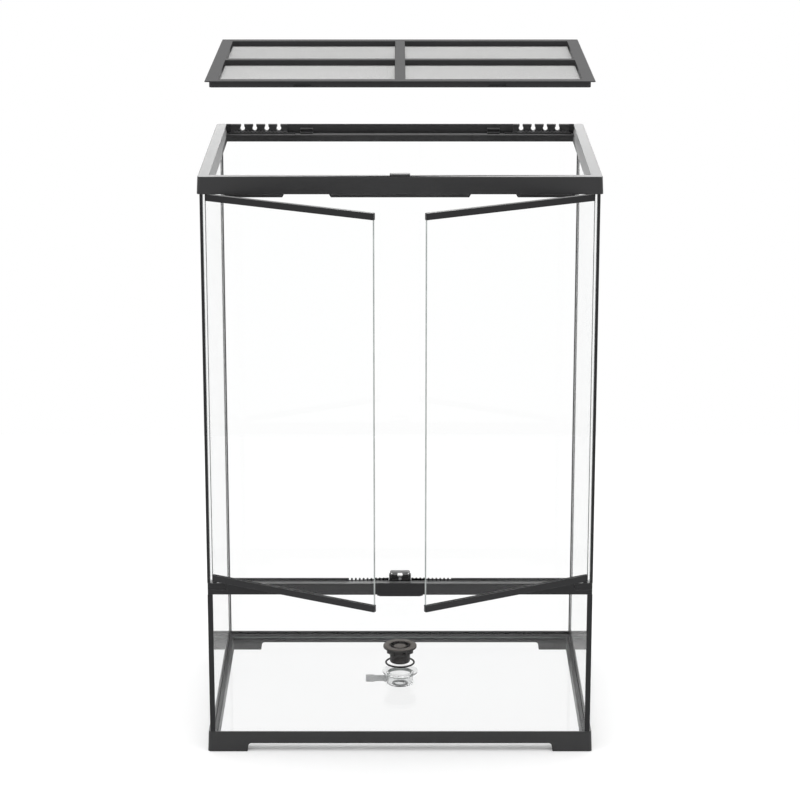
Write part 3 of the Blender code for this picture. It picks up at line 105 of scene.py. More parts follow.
class Slot(Enum):
    """The record's material slots."""

    FRAME = "frame_plastic"
    RAIL = "rail_plastic"
    TRIM = "trim_plastic"
    GLASS = "tank_glass"
    SILICONE = "silicone"
    STEEL = "pin_steel"
    SCREEN = "screen_metal"
    CLEAR = "clear_plastic"
    GREY = "grey_plastic"
    STRAINER = "strainer_plastic"
    SEAL = "seal_rubber"


class Signal:
    """A shader socket that takes part in sums as a number does."""

    def __init__(self, recipe: Recipe, socket: Socket) -> None:
        """Wrap an output socket of the recipe's node tree."""
        self.recipe = recipe
        self.socket = socket

    def __add__(self, other: Value) -> Signal:
        """Return self + other."""
        return self.recipe.maths("ADD", self, other)

    def __radd__(self, other: Value) -> Signal:
        """Return other + self."""
        return self.recipe.maths("ADD", other, self)

    def __sub__(self, other: Value) -> Signal:
        """Return self - other."""
        return self.recipe.maths("SUBTRACT", self, other)

    def __rsub__(self, other: Value) -> Signal:
        """Return other - self."""
        return self.recipe.maths("SUBTRACT", other, self)

    def __mul__(self, other: Value) -> Signal:
        """Return self * other."""
        return self.recipe.maths("MULTIPLY", self, other)

    def __rmul__(self, other: Value) -> Signal:
        """Return other * self."""
        return self.recipe.maths("MULTIPLY", other, self)

    def __abs__(self) -> Signal:
        """Return self without its sign."""
        return self.recipe.maths("ABSOLUTE", self)

    def or_more(self, other: Value) -> Signal:
        """Return self or other, whichever is larger."""
        return self.recipe.maths("MAXIMUM", self, other)

    def between(self, low: float = 0.3, high: float = 0.7) -> Signal:
        """Return 0 below low, 1 above high and a smooth step between them.

        Args:
            low: Value at which the step begins; the defaults spread a noise pattern.
            high: Value at which it ends.

        Returns:
            The step.
        """
        made = self.recipe.node(
            "ShaderNodeMapRange",
            {"interpolation_type": "SMOOTHSTEP"},
            {"Value": self, "From Min": low, "From Max": high},
        )
        return Signal(self.recipe, made.outputs["Result"])


class Recipe:
    """The node tree of a material, or of the studio's surround, while it is laid out."""

    def __init__(self, owner: bpy.types.Material | bpy.types.World) -> None:
        """Start with an empty tree.

        Args:
            owner: The material or world that the tree belongs to.
        """
        self.owner = owner
        owner.use_nodes = True
        self.tree = owner.node_tree
        self.tree.nodes.clear()

    def node(
        self,
        kind: str,
        settings: dict[str, Any] | None = None,
        inputs: dict[str | int, Any] | None = None,
    ) -> bpy.types.Node:
        """Add a node.

        Args:
            kind: The node's type.
            settings: Its properties.
            inputs: Its inputs by name or number: plain values, sockets or signals.

        Returns:
            The node.
        """
        made = self.tree.nodes.new(kind)
        for key, value in (settings or {}).items():
            setattr(made, key, value)
        for key, value in (inputs or {}).items():
            self.feed(made.inputs[key], value)
        return made

    def feed(self, socket: Socket, value: Any) -> None:
        """Link or set one input.

        Args:
            socket: The input socket.
            value: A signal, an output socket, a number, a vector or a colour.
        """
        if isinstance(value, Signal):
            value = value.socket
        if isinstance(value, Socket):
            self.tree.links.new(value, socket)
        elif socket.type == "RGBA" and len(value) == 3:
            socket.default_value = (*value, 1.0)
        else:
            socket.default_value = value

    def maths(self, how: str, *values: Value) -> Signal:
        """Add a Math node with the operation and inputs given, and return its result."""
        made = self.node("ShaderNodeMath", {"operation": how}, dict(enumerate(values)))
        return Signal(self, made.outputs[0])

    def signals(
        self, kind: str, names: tuple[str, ...], inputs: dict[str | int, Any] | None = None
    ) -> list[Signal]:
        """Add a node of the type given and return its outputs of the names given."""
        made = self.node(kind, {}, inputs)
        return [Signal(self, made.outputs[name]) for name in names]

    def place(self) -> Socket:
        """Return the Object coordinates."""
        return self.node("ShaderNodeTexCoord").outputs["Object"]

    def stretched(self, scale: Triple) -> Socket:
        """Return Object coordinates scaled along X, Y and Z."""
        made = self.node("ShaderNodeMapping", {}, {"Vector": self.place(), "Scale": scale})
        return made.outputs["Vector"]

    def noise(self, scale: float, detail: float = 2.0, where: Socket | None = None) -> Signal:
        """Add a noise pattern.

        Args:
            scale: Its scale, in patches to the metre.
            detail: Its detail.
            where: Its coordinates, or None for Object coordinates.

        Returns:
            The pattern, about 0.5 on average.
        """
        inputs = {
            "Vector": where or self.place(),
            "Scale": scale,
            "Detail": detail,
            "Roughness": 0.55,
        }
        return self.signals("ShaderNodeTexNoise", ("Fac",), inputs)[0]

    def colours(self, share: Value, first: Any, second: Any) -> Socket:
        """Mix two colours, with share as how much of the second there is."""
        inputs = {0: share, 6: first, 7: second}
        return self.node("ShaderNodeMix", {"data_type": "RGBA"}, inputs).outputs[2]

    def bump(self, height: Signal, depth: float, strength: float) -> Socket:
        """Turn a height from 0 to 1, where 1 stands for depth, into a normal."""
        inputs = {"Strength": strength, "Distance": depth, "Height": height}
        return self.node("ShaderNodeBump", {}, inputs).outputs["Normal"]

    def shader(self, kind: str, inputs: dict[str | int, Any]) -> Socket:
        """Add a shader of the type given and return its output."""
        return self.node(kind, {}, inputs).outputs[0]

    def principled(self, inputs: dict[str | int, Any]) -> Socket:
        """Add the main shader and return its output."""
        return self.shader("ShaderNodeBsdfPrincipled", inputs)

    def blend(self, share: Value, first: Socket, second: Socket) -> Socket:
        """Mix two shaders, with share as how much of the second there is."""
        return self.shader("ShaderNodeMixShader", {0: share, 1: first, 2: second})

    def lets_lamps_through(self, shader: Socket, tint: Colour) -> Socket:
        """Let light from lamps pass a clear material without bending.

        Args:
            shader: The clear material's shader.
            tint: The colour of the light that passes one face.

        Returns:
            The mixed shader.
        """
        (lamp,) = self.signals("ShaderNodeLightPath", ("Is Shadow Ray",))
        clear = self.shader("ShaderNodeBsdfTransparent", {"Color": tint})
        return self.blend(lamp, shader, clear)

    def done(self, shader: Socket) -> bpy.types.Material | bpy.types.World:
        """Join the shader to the output.

        Args:
            shader: The finished shader.

        Returns:
            The material or world that the tree belongs to.
        """
        kind = "World" if isinstance(self.owner, bpy.types.World) else "Material"
        self.node(f"ShaderNodeOutput{kind}", {}, {"Surface": shader})
        return self.owner


def scaled(colour: Colour, factor: float) -> Colour:
    """Return a colour times a factor."""
    return tuple(part * factor for part in colour)


@dataclass(frozen=True)
class Finish:
    """What all finishes share.

    Attributes:
        name: The material's name.
        rim_lit: Whether the lamp behind the tank lights it.
    """

    name: str
    rim_lit: bool = field(default=False, kw_only=True)

    def make(self) -> bpy.types.Material:
        """Make the material."""
        mix = Recipe(bpy.data.materials.new(self.name))
        return mix.done(self.lay_out(mix))

    def lay_out(self, mix: Recipe) -> Socket:
        """Lay out the nodes in the recipe and return the shader; each finish has its own way."""
        raise NotImplementedError


@dataclass(frozen=True)
class MouldedPlastic(Finish):
    """Satin plastic with the fine grain of a textured mould.

    Attributes:
        tone: Its mean colour.
        roughness: Its mean roughness.
        gloss: Its specular level.
        bloom: How much it pales at a flat angle.
        grain: Distance between grains.
        depth: Height of the grain.
        cloud: How far the tone drifts over the part, as a share.
        patches: Scale of that drift, to the metre.
        streaks: Scale of the streaks that the mould's filling leaves, to the metre.
        run: How the streaks stretch along X, Y and Z.
        streak_rough: How far the roughness swings over the streaks.
        grain_rough: How far it swings over the grain.
    """

    tone: Colour
    roughness: float = 0.40
    gloss: float = 0.45
    bloom: float = 0.5
    grain: float = 0.0012
    depth: float = 0.000012
    cloud: float = 0.07
    patches: float = 11.0
    streaks: float = 38.0
    run: Triple = (1.0, 1.0, 0.35)
    streak_rough: float = 0.04
    grain_rough: float = 0.06

    def lay_out(self, mix: Recipe) -> Socket:
        """Lay out the nodes.

        Args:
            mix: The material's recipe.

        Returns:
            The shader.
        """
        broad = mix.noise(self.patches, 3.0)
        fine = mix.noise(1.0 / self.grain)
        flow = mix.noise(self.streaks, 4.0, mix.stretched(self.run))
        share = (broad * 0.7 + flow * 0.3).between()
        dark = scaled(self.tone, 1.0 - self.cloud)
        light = scaled(self.tone, 1.0 + self.cloud)
        least = self.roughness - (self.streak_rough + self.grain_rough) / 2
        return mix.principled(
            {
                "Base Color": mix.colours(share, dark, light),
                "Roughness": least + flow * self.streak_rough + fine * self.grain_rough,
                "Specular IOR Level": self.gloss,
                "Sheen Weight": self.bloom,
                "Sheen Roughness": 0.35,
                "Normal": mix.bump(fine, self.depth, 0.4),
            }
        )


@dataclass(frozen=True)
class FloatGlass(Finish):
    """Clear float glass, faintly green.

    Attributes:
        tint: The colour of light that has passed it.
        faint: The tint where the sheet is a touch duller.
        mirror: How much it mirrors, as a share of plain glass.
        bend: How strongly it bends light.
        film: Scale of the duller patches, to the metre.
        shade: The colour of lamplight that has passed one face.
    """

    tint: Colour = (0.999, 1.0, 1.0)
    faint: Colour = (0.996, 0.999, 0.998)
    mirror: float = 0.2
    bend: float = 1.5
    film: float = 3.0
    shade: Colour = (0.985, 0.992, 0.99)

    def lay_out(self, mix: Recipe) -> Socket:
        """Lay out the nodes.

        Args:
            mix: The material's recipe.

        Returns:
            The shader.
        """
        duller = mix.noise(self.film, 3.0).between(0.35, 0.65)
        glass = mix.principled(
            {
                "Base Color": mix.colours(duller, self.tint, self.faint),
                "Roughness": 0.0,
                "IOR": self.bend,
                "Specular Tint": scaled(WHITE, self.mirror),
                "Transmission Weight": 1.0,
            }
        )
        return mix.lets_lamps_through(glass, self.shade)


@dataclass(frozen=True)
class GroundGlass(Finish):
    """The seamed and polished edge of a pane, which shows pale grey-green.

    Attributes:
        pale: Its lighter colour.
        deep: Its darker colour.
        patches: Scale of the change between the two, to the metre.
        marks: Scale of the grinding wheel's marks, to the metre.
        depth: Height of the marks.
        smooth: Its least roughness.
        uneven: How far the marks raise the roughness.
    """

    pale: Colour = (0.46, 0.49, 0.48)
    deep: Colour = (0.34, 0.37, 0.36)
    patches: float = 60.0
    marks: float = 900.0
    depth: float = 0.00003
    smooth: float = 0.16
    uneven: float = 0.22

    def lay_out(self, mix: Recipe) -> Socket:
        """Lay out the nodes.

        Args:
            mix: The material's recipe.

        Returns:
            The shader.
        """
        wheel = mix.noise(self.marks, 3.0)
        broad = mix.noise(self.patches, 3.0)
        return mix.principled(
            {
                "Base Color": mix.colours(broad.between(), self.deep, self.pale),
                "Roughness": self.smooth + wheel * self.uneven,
                "IOR": 1.5,
                "Normal": mix.bump(wheel, self.depth, 0.5),
            }
        )


@dataclass(frozen=True)
class TooledSilicone(Finish):
    """Black silicone, smoothed with a tool along its run.

    Attributes:
        tone: Its darker colour.
        light: The lighter tone as a share of the darker one.
        waves: Scale of the tool's waves, to the metre.
        grain: Scale of the fine marks, to the metre.
        depth: Height of the waves.
        smooth: Its least roughness.
        uneven: How far waves and fine marks each raise the roughness.
    """

    tone: Colour = (0.034, 0.034, 0.035)
    light: float = 1.15
    waves: float = 45.0
    grain: float = 700.0
    depth: float = 0.0002
    smooth: float = 0.35
    uneven: float = 0.04

    def lay_out(self, mix: Recipe) -> Socket:
        """Lay out the nodes.

        Args:
            mix: The material's recipe.

        Returns:
            The shader.
        """
        waves = mix.noise(self.waves)
        fine = mix.noise(self.grain)
        return mix.principled(
            {
                "Base Color": mix.colours(waves, self.tone, scaled(self.tone, self.light)),
                "Roughness": self.smooth + waves * self.uneven + fine * self.uneven,
                "Normal": mix.bump(waves + fine * 0.04, self.depth, 0.2),
            }
        )


@dataclass(frozen=True)
class DrawnSteel(Finish):
    """Bright steel with drawing or turning marks.

    Attributes:
        tone: Its lighter colour.
        roughness: Its mean roughness.
        marks: How the marks stretch along X, Y and Z.
        pitch: Distance between the marks.
        drift: Scale of the slow change of tone, to the metre.
        dull: The duller tone as a share of the lighter one.
        uneven: How far the roughness swings over the marks.
        depth: Height of the marks.
    """

    tone: Colour = (0.62, 0.62, 0.63)
    roughness: float = 0.28
    marks: Triple = (1.0, 1.0, 0.08)
    pitch: float = 0.0004
    drift: float = 80.0
    dull: float = 0.82
    uneven: float = 0.16
    depth: float = 0.00001

    def lay_out(self, mix: Recipe) -> Socket:
        """Lay out the nodes.

        Args:
            mix: The material's recipe.

        Returns:
            The shader.
        """
        lines = mix.noise(1.0 / self.pitch, 2.0, mix.stretched(self.marks))
        broad = mix.noise(self.drift, 3.0)
        dull = scaled(self.tone, self.dull)
        return mix.principled(
            {
                "Base Color": mix.colours(broad.between(), dull, self.tone),
                "Metallic": 1.0,
                "Roughness": (self.roughness - self.uneven / 2) + lines * self.uneven,
                "Normal": mix.bump(lines, self.depth, 0.4),
            }
        )


@dataclass(frozen=True)
class ClearMoulding(Finish):
    """Clear moulded plastic with a faint milky haze.

    Attributes:
        tint: Its clearer colour.
        haze: The share of light that it scatters.
        bend: How strongly it bends light; low, since the moulding is thin.
        swirl: Scale of the swirls from its filling, to the metre.
        cloudy: The duller tint as a share of the clearer one.
        depth: Height of the swirls.
        shade: The colour of lamplight that has passed one face.
    """

    tint: Colour = (0.975, 0.98, 0.98)
    haze: float = 0.10
    bend: float = 1.07
    swirl: float = 70.0
    cloudy: float = 0.93
    depth: float = 0.0001
    shade: Colour = (0.86, 0.88, 0.88)

    def lay_out(self, mix: Recipe) -> Socket:
        """Lay out the nodes.

        Args:
            mix: The material's recipe.

        Returns:
            The shader.
        """
        swirl = mix.noise(self.swirl, 4.0)
        cloudy = scaled(self.tint, self.cloudy)
        shader = mix.principled(
            {
                "Base Color": mix.colours(swirl.between(), self.tint, cloudy),
                "Roughness": 0.02,
                "IOR": self.bend,
                "Transmission Weight": 1.0 - self.haze,
                "Normal": mix.bump(swirl, self.depth, 0.1),
            }
        )
        return mix.lets_lamps_through(shader, self.shade)


@dataclass(frozen=True)
class SoftRubber(Finish):
    """Matt black rubber with moulding dust.

    Attributes:
        tone: Its darker colour.
        dusty: The tone under dust as a share of the darker one.
        dust: Scale of the dust, to the metre.
        grain: Scale of the fine grain, to the metre.
        depth: Height of the grain.
        smooth: Its least roughness.
        uneven: How far the dust raises the roughness.
    """

    tone: Colour = (0.004, 0.004, 0.004)
    dusty: float = 2.6
    dust: float = 260.0
    grain: float = 2200.0
    depth: float = 0.00002
    smooth: float = 0.60
    uneven: float = 0.16

    def lay_out(self, mix: Recipe) -> Socket:
        """Lay out the nodes.

        Args:
            mix: The material's recipe.

        Returns:
            The shader.
        """
        dust = mix.noise(self.dust, 4.0)
        fine = mix.noise(self.grain)
        dusty = scaled(self.tone, self.dusty)
        return mix.principled(
            {
                "Base Color": mix.colours(dust.between(0.4, 0.75), self.tone, dusty),
                "Roughness": self.smooth + dust * self.uneven,
                "Specular IOR Level": 0.25,
                "Normal": mix.bump(fine, self.depth, 0.5),
            }
        )


@dataclass(frozen=True)
class StudioFloor(Finish):
    """A pale floor that shows white to the camera and keeps the tank's shadow, with a shadow painted
    under the base's rails.

    Attributes:
        tone: The floor's own colour.
        drift: Its darker tone as a share of that colour.
        patches: Scale of the change between the two, to the metre.
        lift: Light that only what looks at the floor sees.
        through: Share of plain white in what is seen of it through glass.
        middle: Y of the tank's middle.
        half: X and Y of the middle of the base's rails, from the tank's middle.
        contact: How far the painted shadow under a rail reaches to either side of it.
    """

    tone: Colour = (0.86, 0.86, 0.86)
    drift: float = 0.99
    patches: float = 40.0
    lift: float = 0.29
    through: float = 0.96
    middle: float = 0.0681
    half: tuple[float, float] = (0.289, 0.214)
    contact: float = 0.017

    def outside_painted_shadow(self, mix: Recipe) -> Signal:
        """Tell where the floor is clear of the shadow painted under the base's rails.

        Args:
            mix: The recipe of the floor.

        Returns:
            0 under the rails of the base, where the lift is taken away as a painted shadow, rising
            to 1 on either side.
        """
        across, depth = mix.signals("ShaderNodeSeparateXYZ", ("X", "Y"), {0: mix.place()})
        beside = abs(across) - self.half[0]
        along = abs(depth - self.middle) - self.half[1]
        return abs(beside.or_more(along)).between(0.0, self.contact)

    def lay_out(self, mix: Recipe) -> Socket:
        """Lay out the nodes.

        Args:
            mix: The material's recipe.

        Returns:
            The shader.
        """
        camera, mirror, glass = mix.signals("ShaderNodeLightPath", SIGHT)
        dark = mix.shader("ShaderNodeBsdfDiffuse", {"Color": scaled(self.tone, self.drift)})
        light = mix.shader("ShaderNodeBsdfDiffuse", {"Color": self.tone})
        plain = mix.blend(mix.noise(self.patches, 4.0), dark, light)
        glow = mix.shader("ShaderNodeEmission", {"Color": WHITE, "Strength": self.lift})
        lifted = mix.shader("ShaderNodeAddShader", {0: plain, 1: glow})
        # The lift is taken away under the base's rails, which paints a soft shadow there.
        floor = mix.blend(camera.or_more(mirror) * self.outside_painted_shadow(mix), plain, lifted)
        flat = mix.shader("ShaderNodeEmission", {"Color": WHITE, "Strength": 1.0})
        return mix.blend(glass * self.through, floor, flat)


def as_mesh(name: str, shape: Shape) -> bpy.types.Mesh:
    """Make a mesh of a shape.

    Args:
        name: The mesh's name.
        shape: The shape, which is freed.

    Returns:
        The mesh.
    """
    mesh = bpy.data.meshes.new(name)
    shape.to_mesh(mesh)
    shape.free()
    return mesh


def in_scene(name: str, data: bpy.types.ID) -> bpy.types.Object:
    """Put a new object in the scene.

    Args:
        name: The object's name.
        data: Its mesh, lamp or camera.

    Returns:
        The object.
    """
    made = bpy.data.objects.new(name, data)
    bpy.context.scene.collection.objects.link(made)
    return made


@dataclass(frozen=True)
class Softener:
    """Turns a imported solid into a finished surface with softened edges.

    Attributes:
        edge: Radius of the softened edges.
        segments: Steps round a softened edge.
        crease: Least angle of an edge that counts as sharp.
        straight: Least angle at which two edges count as one run.
        flat: Greatest angle between two faces that are joined into one.
        use: Share of the room beside an edge that its rounding may take.
        least: Share of the radius below which an edge is left sharp.
    """

    edge: float = 0.0004
    segments: int = 2
    crease: float = math.radians(28.0)
    straight: float = math.radians(148.0)
    flat: float = math.radians(0.6)
    use: float = 0.42
    least: float = 0.12

    def room(self, edge: bmesh.types.BMEdge) -> float:
        """Measure how much room an edge has beside it.

        Args:
            edge: An edge of the solid.

        Returns:
            The least width of the faces beside it, near its ends.
        """
        least = 1.0
        for corner in edge.verts:
            along = edge.other_vert(corner).co - corner.co
            for other in corner.link_edges:
                if other is edge or not set(other.link_faces) & set(edge.link_faces):
                    continue
                turn = along.angle(other.other_vert(corner).co - corner.co, math.pi)
                if turn < self.straight:
                    least = min(least, other.calc_length() * math.sin(turn))
        return least

    def copy_of(self, node: bpy.types.Object) -> Shape:
        """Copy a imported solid's mesh and join its loose triangles.

        Args:
            node: The solid's object.

        Returns:
            The joined mesh.
        """
        shape = bmesh.new()
        shape.from_mesh(node.data)
        bmesh.ops.remove_doubles(shape, verts=shape.verts[:], dist=SAME_PLACE)
        bmesh.ops.dissolve_limit(
            shape,
            angle_limit=self.flat,
            verts=shape.verts[:],
            edges=shape.edges[:],
            delimit=set(),
        )
        bmesh.ops.recalc_face_normals(shape, faces=shape.faces[:])
        return shape

    def weigh(self, shape: Shape) -> None:
        """Mark each sharp edge with how much of the full radius it can take.

        Args:
            shape: The joined mesh.
        """
        weight = shape.edges.layers.float.new("bevel_weight_edge")
        for face in shape.faces:
            face.smooth = True
        for edge in shape.edges:
            if len(edge.link_faces) != 2 or edge.calc_face_angle(0.0) < self.crease:
                continue
            share = min(1.0, self.use * self.room(edge) / self.edge) if edge.is_convex else 0.0
            edge[weight] = share if share > self.least else 0.0
            edge.smooth = edge[weight] > 0.0

    def finish(self, piece: bpy.types.Object) -> None:
        """Add the modifiers that round and smooth a piece.

        Args:
            piece: The piece.
        """
        round_edges = piece.modifiers.new("soft_edges", "BEVEL")
        round_edges.limit_method = "WEIGHT"
        round_edges.width = self.edge
        round_edges.segments = self.segments
        round_edges.profile = 0.5
        round_edges.use_clamp_overlap = False
        round_edges.miter_outer = "MITER_ARC"
        even = piece.modifiers.new("even_normals", "WEIGHTED_NORMAL")
        even.mode = "FACE_AREA"
        even.weight = 50
        even.keep_sharp = True


class Workbench:
    """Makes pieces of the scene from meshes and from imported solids."""

    def __init__(self, frame: dict[str, Any]) -> None:
        """Set out the bench.
        """
        self.nodes: dict[str, bpy.types.Object] = frame["nodes"]
        self.finishes: dict[str, bpy.types.Material] = {}
        self.rim_lit = bpy.data.collections.new("rim_lit")

    def body_of(self, node: str) -> str:
        """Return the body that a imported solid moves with."""
        return self.nodes[node]["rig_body"]

    def material(self, finish: Finish) -> bpy.types.Material:
        """Make a finish's material, or return the one made before.

        Args:
            finish: The finish.

        Returns:
            Its material.
        """
        if finish.name not in self.finishes:
            self.finishes[finish.name] = finish.make()
        return self.finishes[finish.name]

    def piece(
        self,
        name: str,
        shape: Shape,
        finishes: list[Finish],
        slot: Slot,
        replaced: list[str],
    ) -> bpy.types.Object:
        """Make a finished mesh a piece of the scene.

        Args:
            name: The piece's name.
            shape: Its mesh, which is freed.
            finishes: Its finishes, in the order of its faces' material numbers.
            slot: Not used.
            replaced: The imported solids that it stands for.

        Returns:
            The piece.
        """
        mesh = as_mesh(name, shape)
        stale = mesh.attributes.get("custom_normal")
        if stale is not None:
            mesh.attributes.remove(stale)
        for finish in finishes:
            mesh.materials.append(self.material(finish))
        made = in_scene(name, mesh)
        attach(made, self.body_of(replaced[0]))
        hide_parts(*replaced)
        LOG.info("%s: %d faces", name, len(mesh.polygons))
        return made

    def soften(
        self,
        node: str,
        finish: Finish,
        slot: Slot,
        softener: Softener,
        top: Finish | None = None,
    ) -> bpy.types.Object:
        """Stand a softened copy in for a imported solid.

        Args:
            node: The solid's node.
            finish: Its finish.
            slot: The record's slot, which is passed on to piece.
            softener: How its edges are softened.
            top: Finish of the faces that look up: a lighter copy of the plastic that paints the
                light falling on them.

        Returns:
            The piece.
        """
        shape = softener.copy_of(self.nodes[node])
        finishes = [finish, top] if top else [finish]
        # Faces that look up take the top finish, a lighter copy that paints the light falling on
        # them.
        for face in shape.faces:
            face.material_index = 1 if top and face.normal.z > ALIGNED else 0
        softener.weigh(shape)
        made = self.piece(f"{node}_finished", shape, finishes, slot, [node])
        if finish.rim_lit:
            self.rim_lit.objects.link(made)
        softener.finish(made)
        return made


FRAME_PLASTIC = MouldedPlastic(
    "frame_plastic_satin", (0.014, 0.014, 0.015), roughness=0.42, bloom=0.6, rim_lit=True
)
LID_PLASTIC = MouldedPlastic(
    "lid_plastic_satin", (0.022, 0.022, 0.023), roughness=0.56, gloss=0.30, bloom=0.12
)
RAIL_PLASTIC = MouldedPlastic(
    "rail_plastic_satin",
    (0.005, 0.005, 0.006),
    roughness=0.31,
    gloss=0.32,
    bloom=0.36,
    rim_lit=True,
)
# A lighter copy of the rail plastic for the rails' faces that look up: painted light on their tops.
RAIL_PAINTED_TOP_LIGHT = MouldedPlastic("rail_plastic_worn", (0.060, 0.060, 0.061), roughness=0.30, bloom=1.0)
TRIM_PLASTIC = MouldedPlastic(
    "trim_plastic_satin", (0.007, 0.007, 0.008), roughness=0.42, gloss=0.30
)
GREY_PLASTIC = MouldedPlastic(
    "grey_plastic_satin", (0.60, 0.605, 0.61), roughness=0.40, bloom=0.0, cloud=0.05
)
RING_PLASTIC = MouldedPlastic(
    "ring_plastic_grey", (0.055, 0.055, 0.058), roughness=0.42, bloom=0.0
)
LOCK_PLASTIC = MouldedPlastic("lock_plastic_grey", (0.190, 0.190, 0.192), roughness=0.38)
# Lit and shaded copies of the strainer's plastic: a lighter one as painted light on its faces that
# look up, a darker shaded one for its sides, and a near black one as painted shade in its well.
STRAINER_PAINTED_LIGHT_TOP = MouldedPlastic(
    "strainer_plastic_pale", (0.105, 0.090, 0.078), roughness=0.56, gloss=0.30, bloom=0.2
)
STRAINER_SHADE = MouldedPlastic(
    "strainer_plastic_dark", (0.016, 0.014, 0.013), roughness=0.50, gloss=0.30, bloom=0.1
)
STRAINER_PAINTED_WELL_SHADE = MouldedPlastic(
    "strainer_plastic_well", (0.003, 0.0027, 0.0025), roughness=0.60, gloss=0.08, bloom=0.0
)
GLASS = FloatGlass("float_glass")
FLOOR_GLASS = FloatGlass(
    "floor_glass",
    tint=(0.949, 0.950, 0.951),
    faint=(0.944, 0.945, 0.946),
    mirror=0.3,
    bend=1.1,
)
GLASS_EDGE = GroundGlass("ground_glass_edge")
SILICONE = TooledSilicone("tooled_silicone")
PIN_STEEL = DrawnSteel("pin_steel_bright")
SCREW_STEEL = DrawnSteel("lock_screw_steel", (0.30, 0.30, 0.31), roughness=0.36)
WIRE = DrawnSteel(
    "screen_wire",
    (0.60, 0.60, 0.595),
    roughness=0.40,
    marks=(1.0, 1.0, 1.0),
    pitch=0.0006,
    drift=7.0,
    dull=0.96,
)
CLEAR_PLASTIC = ClearMoulding("clear_drain_plastic")
RUBBER = SoftRubber("seal_rubber_black")


@dataclass
class TankFrame:
    """The base frame, top frame, cable gates, lid clips, latch, trims and hinge bushes.

    Attributes:
        edge: Radius of the mouldings' edges.
        small_edge: Radius of the edges of its other parts.
        small_parts: The small parts of the frame's own plastic.
    """

    edge: float = 0.0007
    small_edge: float = 0.0004
    small_parts: tuple[str, ...] = (
        "left_cable_gate",
        "right_cable_gate",
        "left_lid_clip",
        "right_lid_clip",
        "lid_latch",
    )

    def build(self, bench: Workbench) -> None:
        """Soften and dress the mouldings.

        Args:
            bench: The bench that makes the pieces.
        """
        for node in ("base_frame", "top_frame"):
            bench.soften(node, FRAME_PLASTIC, Slot.FRAME, Softener(self.edge, segments=3))
        small = Softener(self.small_edge)
        for node in self.small_parts:
            bench.soften(node, FRAME_PLASTIC, Slot.FRAME, small)
        for side in Side:
            for part in ("upper_trim", "lower_trim"):
                bench.soften(f"{side.value}_{part}", TRIM_PLASTIC, Slot.TRIM, small)
            bench.soften(f"{side.value}_hinge_bush", GREY_PLASTIC, Slot.GREY, small)


@dataclass
class MiddleRail:
    """The rail between the water section and the doors, with its hinge blocks and cover plate.

    Attributes:
        edge: Radius of the rail's edges.
    """

    edge: float = 0.0005

    def build(self, bench: Workbench) -> None:
        """Soften and dress the rail.

        Args:
            bench: The bench that makes the pieces.
        """
        soft = Softener(self.edge)
        # The faces of the rail and hinge blocks that look up take the painted top light.
        bench.soften("middle_rail", RAIL_PLASTIC, Slot.RAIL, soft, RAIL_PAINTED_TOP_LIGHT)
        for side in Side:
            bench.soften(f"{side.value}_hinge_block", RAIL_PLASTIC, Slot.RAIL, soft, RAIL_PAINTED_TOP_LIGHT)
        bench.soften("cover_plate", TRIM_PLASTIC, Slot.TRIM, Softener(edge=0.0003))


@dataclass
class GlassBox:
    """The tank's five fixed panes and the silicone in its corners.

    Attributes:
        panes: The panes' nodes.
        beads: The silicone beads' nodes.
    """

    panes: tuple[str, ...] = (
        "left_side_pane",
        "right_side_pane",
        "back_pane",
        "front_low_pane",
        "floor_pane",
    )
    beads: tuple[str, ...] = (
        "left_back_bead",
        "right_back_bead",
        "left_front_bead",
        "right_front_bead",
        "floor_bead",
    )

    def build(self, bench: Workbench) -> None:
        """Make the panes with their ground edges, and dress the silicone.

        Args:
            bench: The bench that makes the pieces.
        """
        for node in self.panes:
            self.glaze(bench, node, FLOOR_GLASS if node == "floor_pane" else GLASS)
        for node in self.beads:
            bench.soften(node, SILICONE, Slot.SILICONE, Softener(edge=0.0002))

    @staticmethod
    def glaze(bench: Workbench, node: str, glass: FloatGlass = GLASS) -> bpy.types.Object:
        """Make a pane whose narrow faces are ground.

        Args:
            bench: The bench that makes the pieces.
            node: The pane's node.
            glass: The finish of its broad faces.

        Returns:
            The piece.
        """
        shape = Softener().copy_of(bench.nodes[node])
        broad = max(shape.faces, key=lambda face: face.calc_area()).normal.copy()
        for face in shape.faces:
            face.smooth = False
            face.material_index = 0 if abs(face.normal.dot(broad)) > ALIGNED else 1
        return bench.piece(f"{node}_clear", shape, [glass, GLASS_EDGE], Slot.GLASS, [node])


@dataclass
class DoorPair:
    """The two glass doors with their rails and hinge pins.

    Attributes:
        edge: Radius of the rails' edges.
    """

    edge: float = 0.0006

    def build(self, bench: Workbench) -> None:
        """Make both doors.

        Args:
            bench: The bench that makes the pieces.
        """
        for side in Side:
            GlassBox.glaze(bench, f"{side.value}_door_pane")
            for part in ("door_bottom_rail", "door_top_rail"):
                rail = f"{side.value}_{part}"
                # The faces of the door rails that look up take the painted top light.
                bench.soften(rail, RAIL_PLASTIC, Slot.RAIL, Softener(self.edge), RAIL_PAINTED_TOP_LIGHT)
            for part in ("lower_hinge_pin", "upper_hinge_pin"):
                bench.soften(f"{side.value}_{part}", PIN_STEEL, Slot.STEEL, Softener(edge=0.0002))


@dataclass
class DoorLock:
    """The lock on the middle rail: its housing, drop bar and screw.

    Attributes:
        edge: Radius of its edges.
    """

    edge: float = 0.0003

    def build(self, bench: Workbench) -> None:
        """Soften and dress the lock.

        Args:
            bench: The bench that makes the pieces.
        """
        soft = Softener(self.edge)
        bench.soften("lock_housing", TRIM_PLASTIC, Slot.RAIL, soft)
        bench.soften("lock_bar", LOCK_PLASTIC, Slot.RAIL, soft)
        bench.soften("lock_screw", SCREW_STEEL, Slot.STEEL, Softener(edge=0.0002))


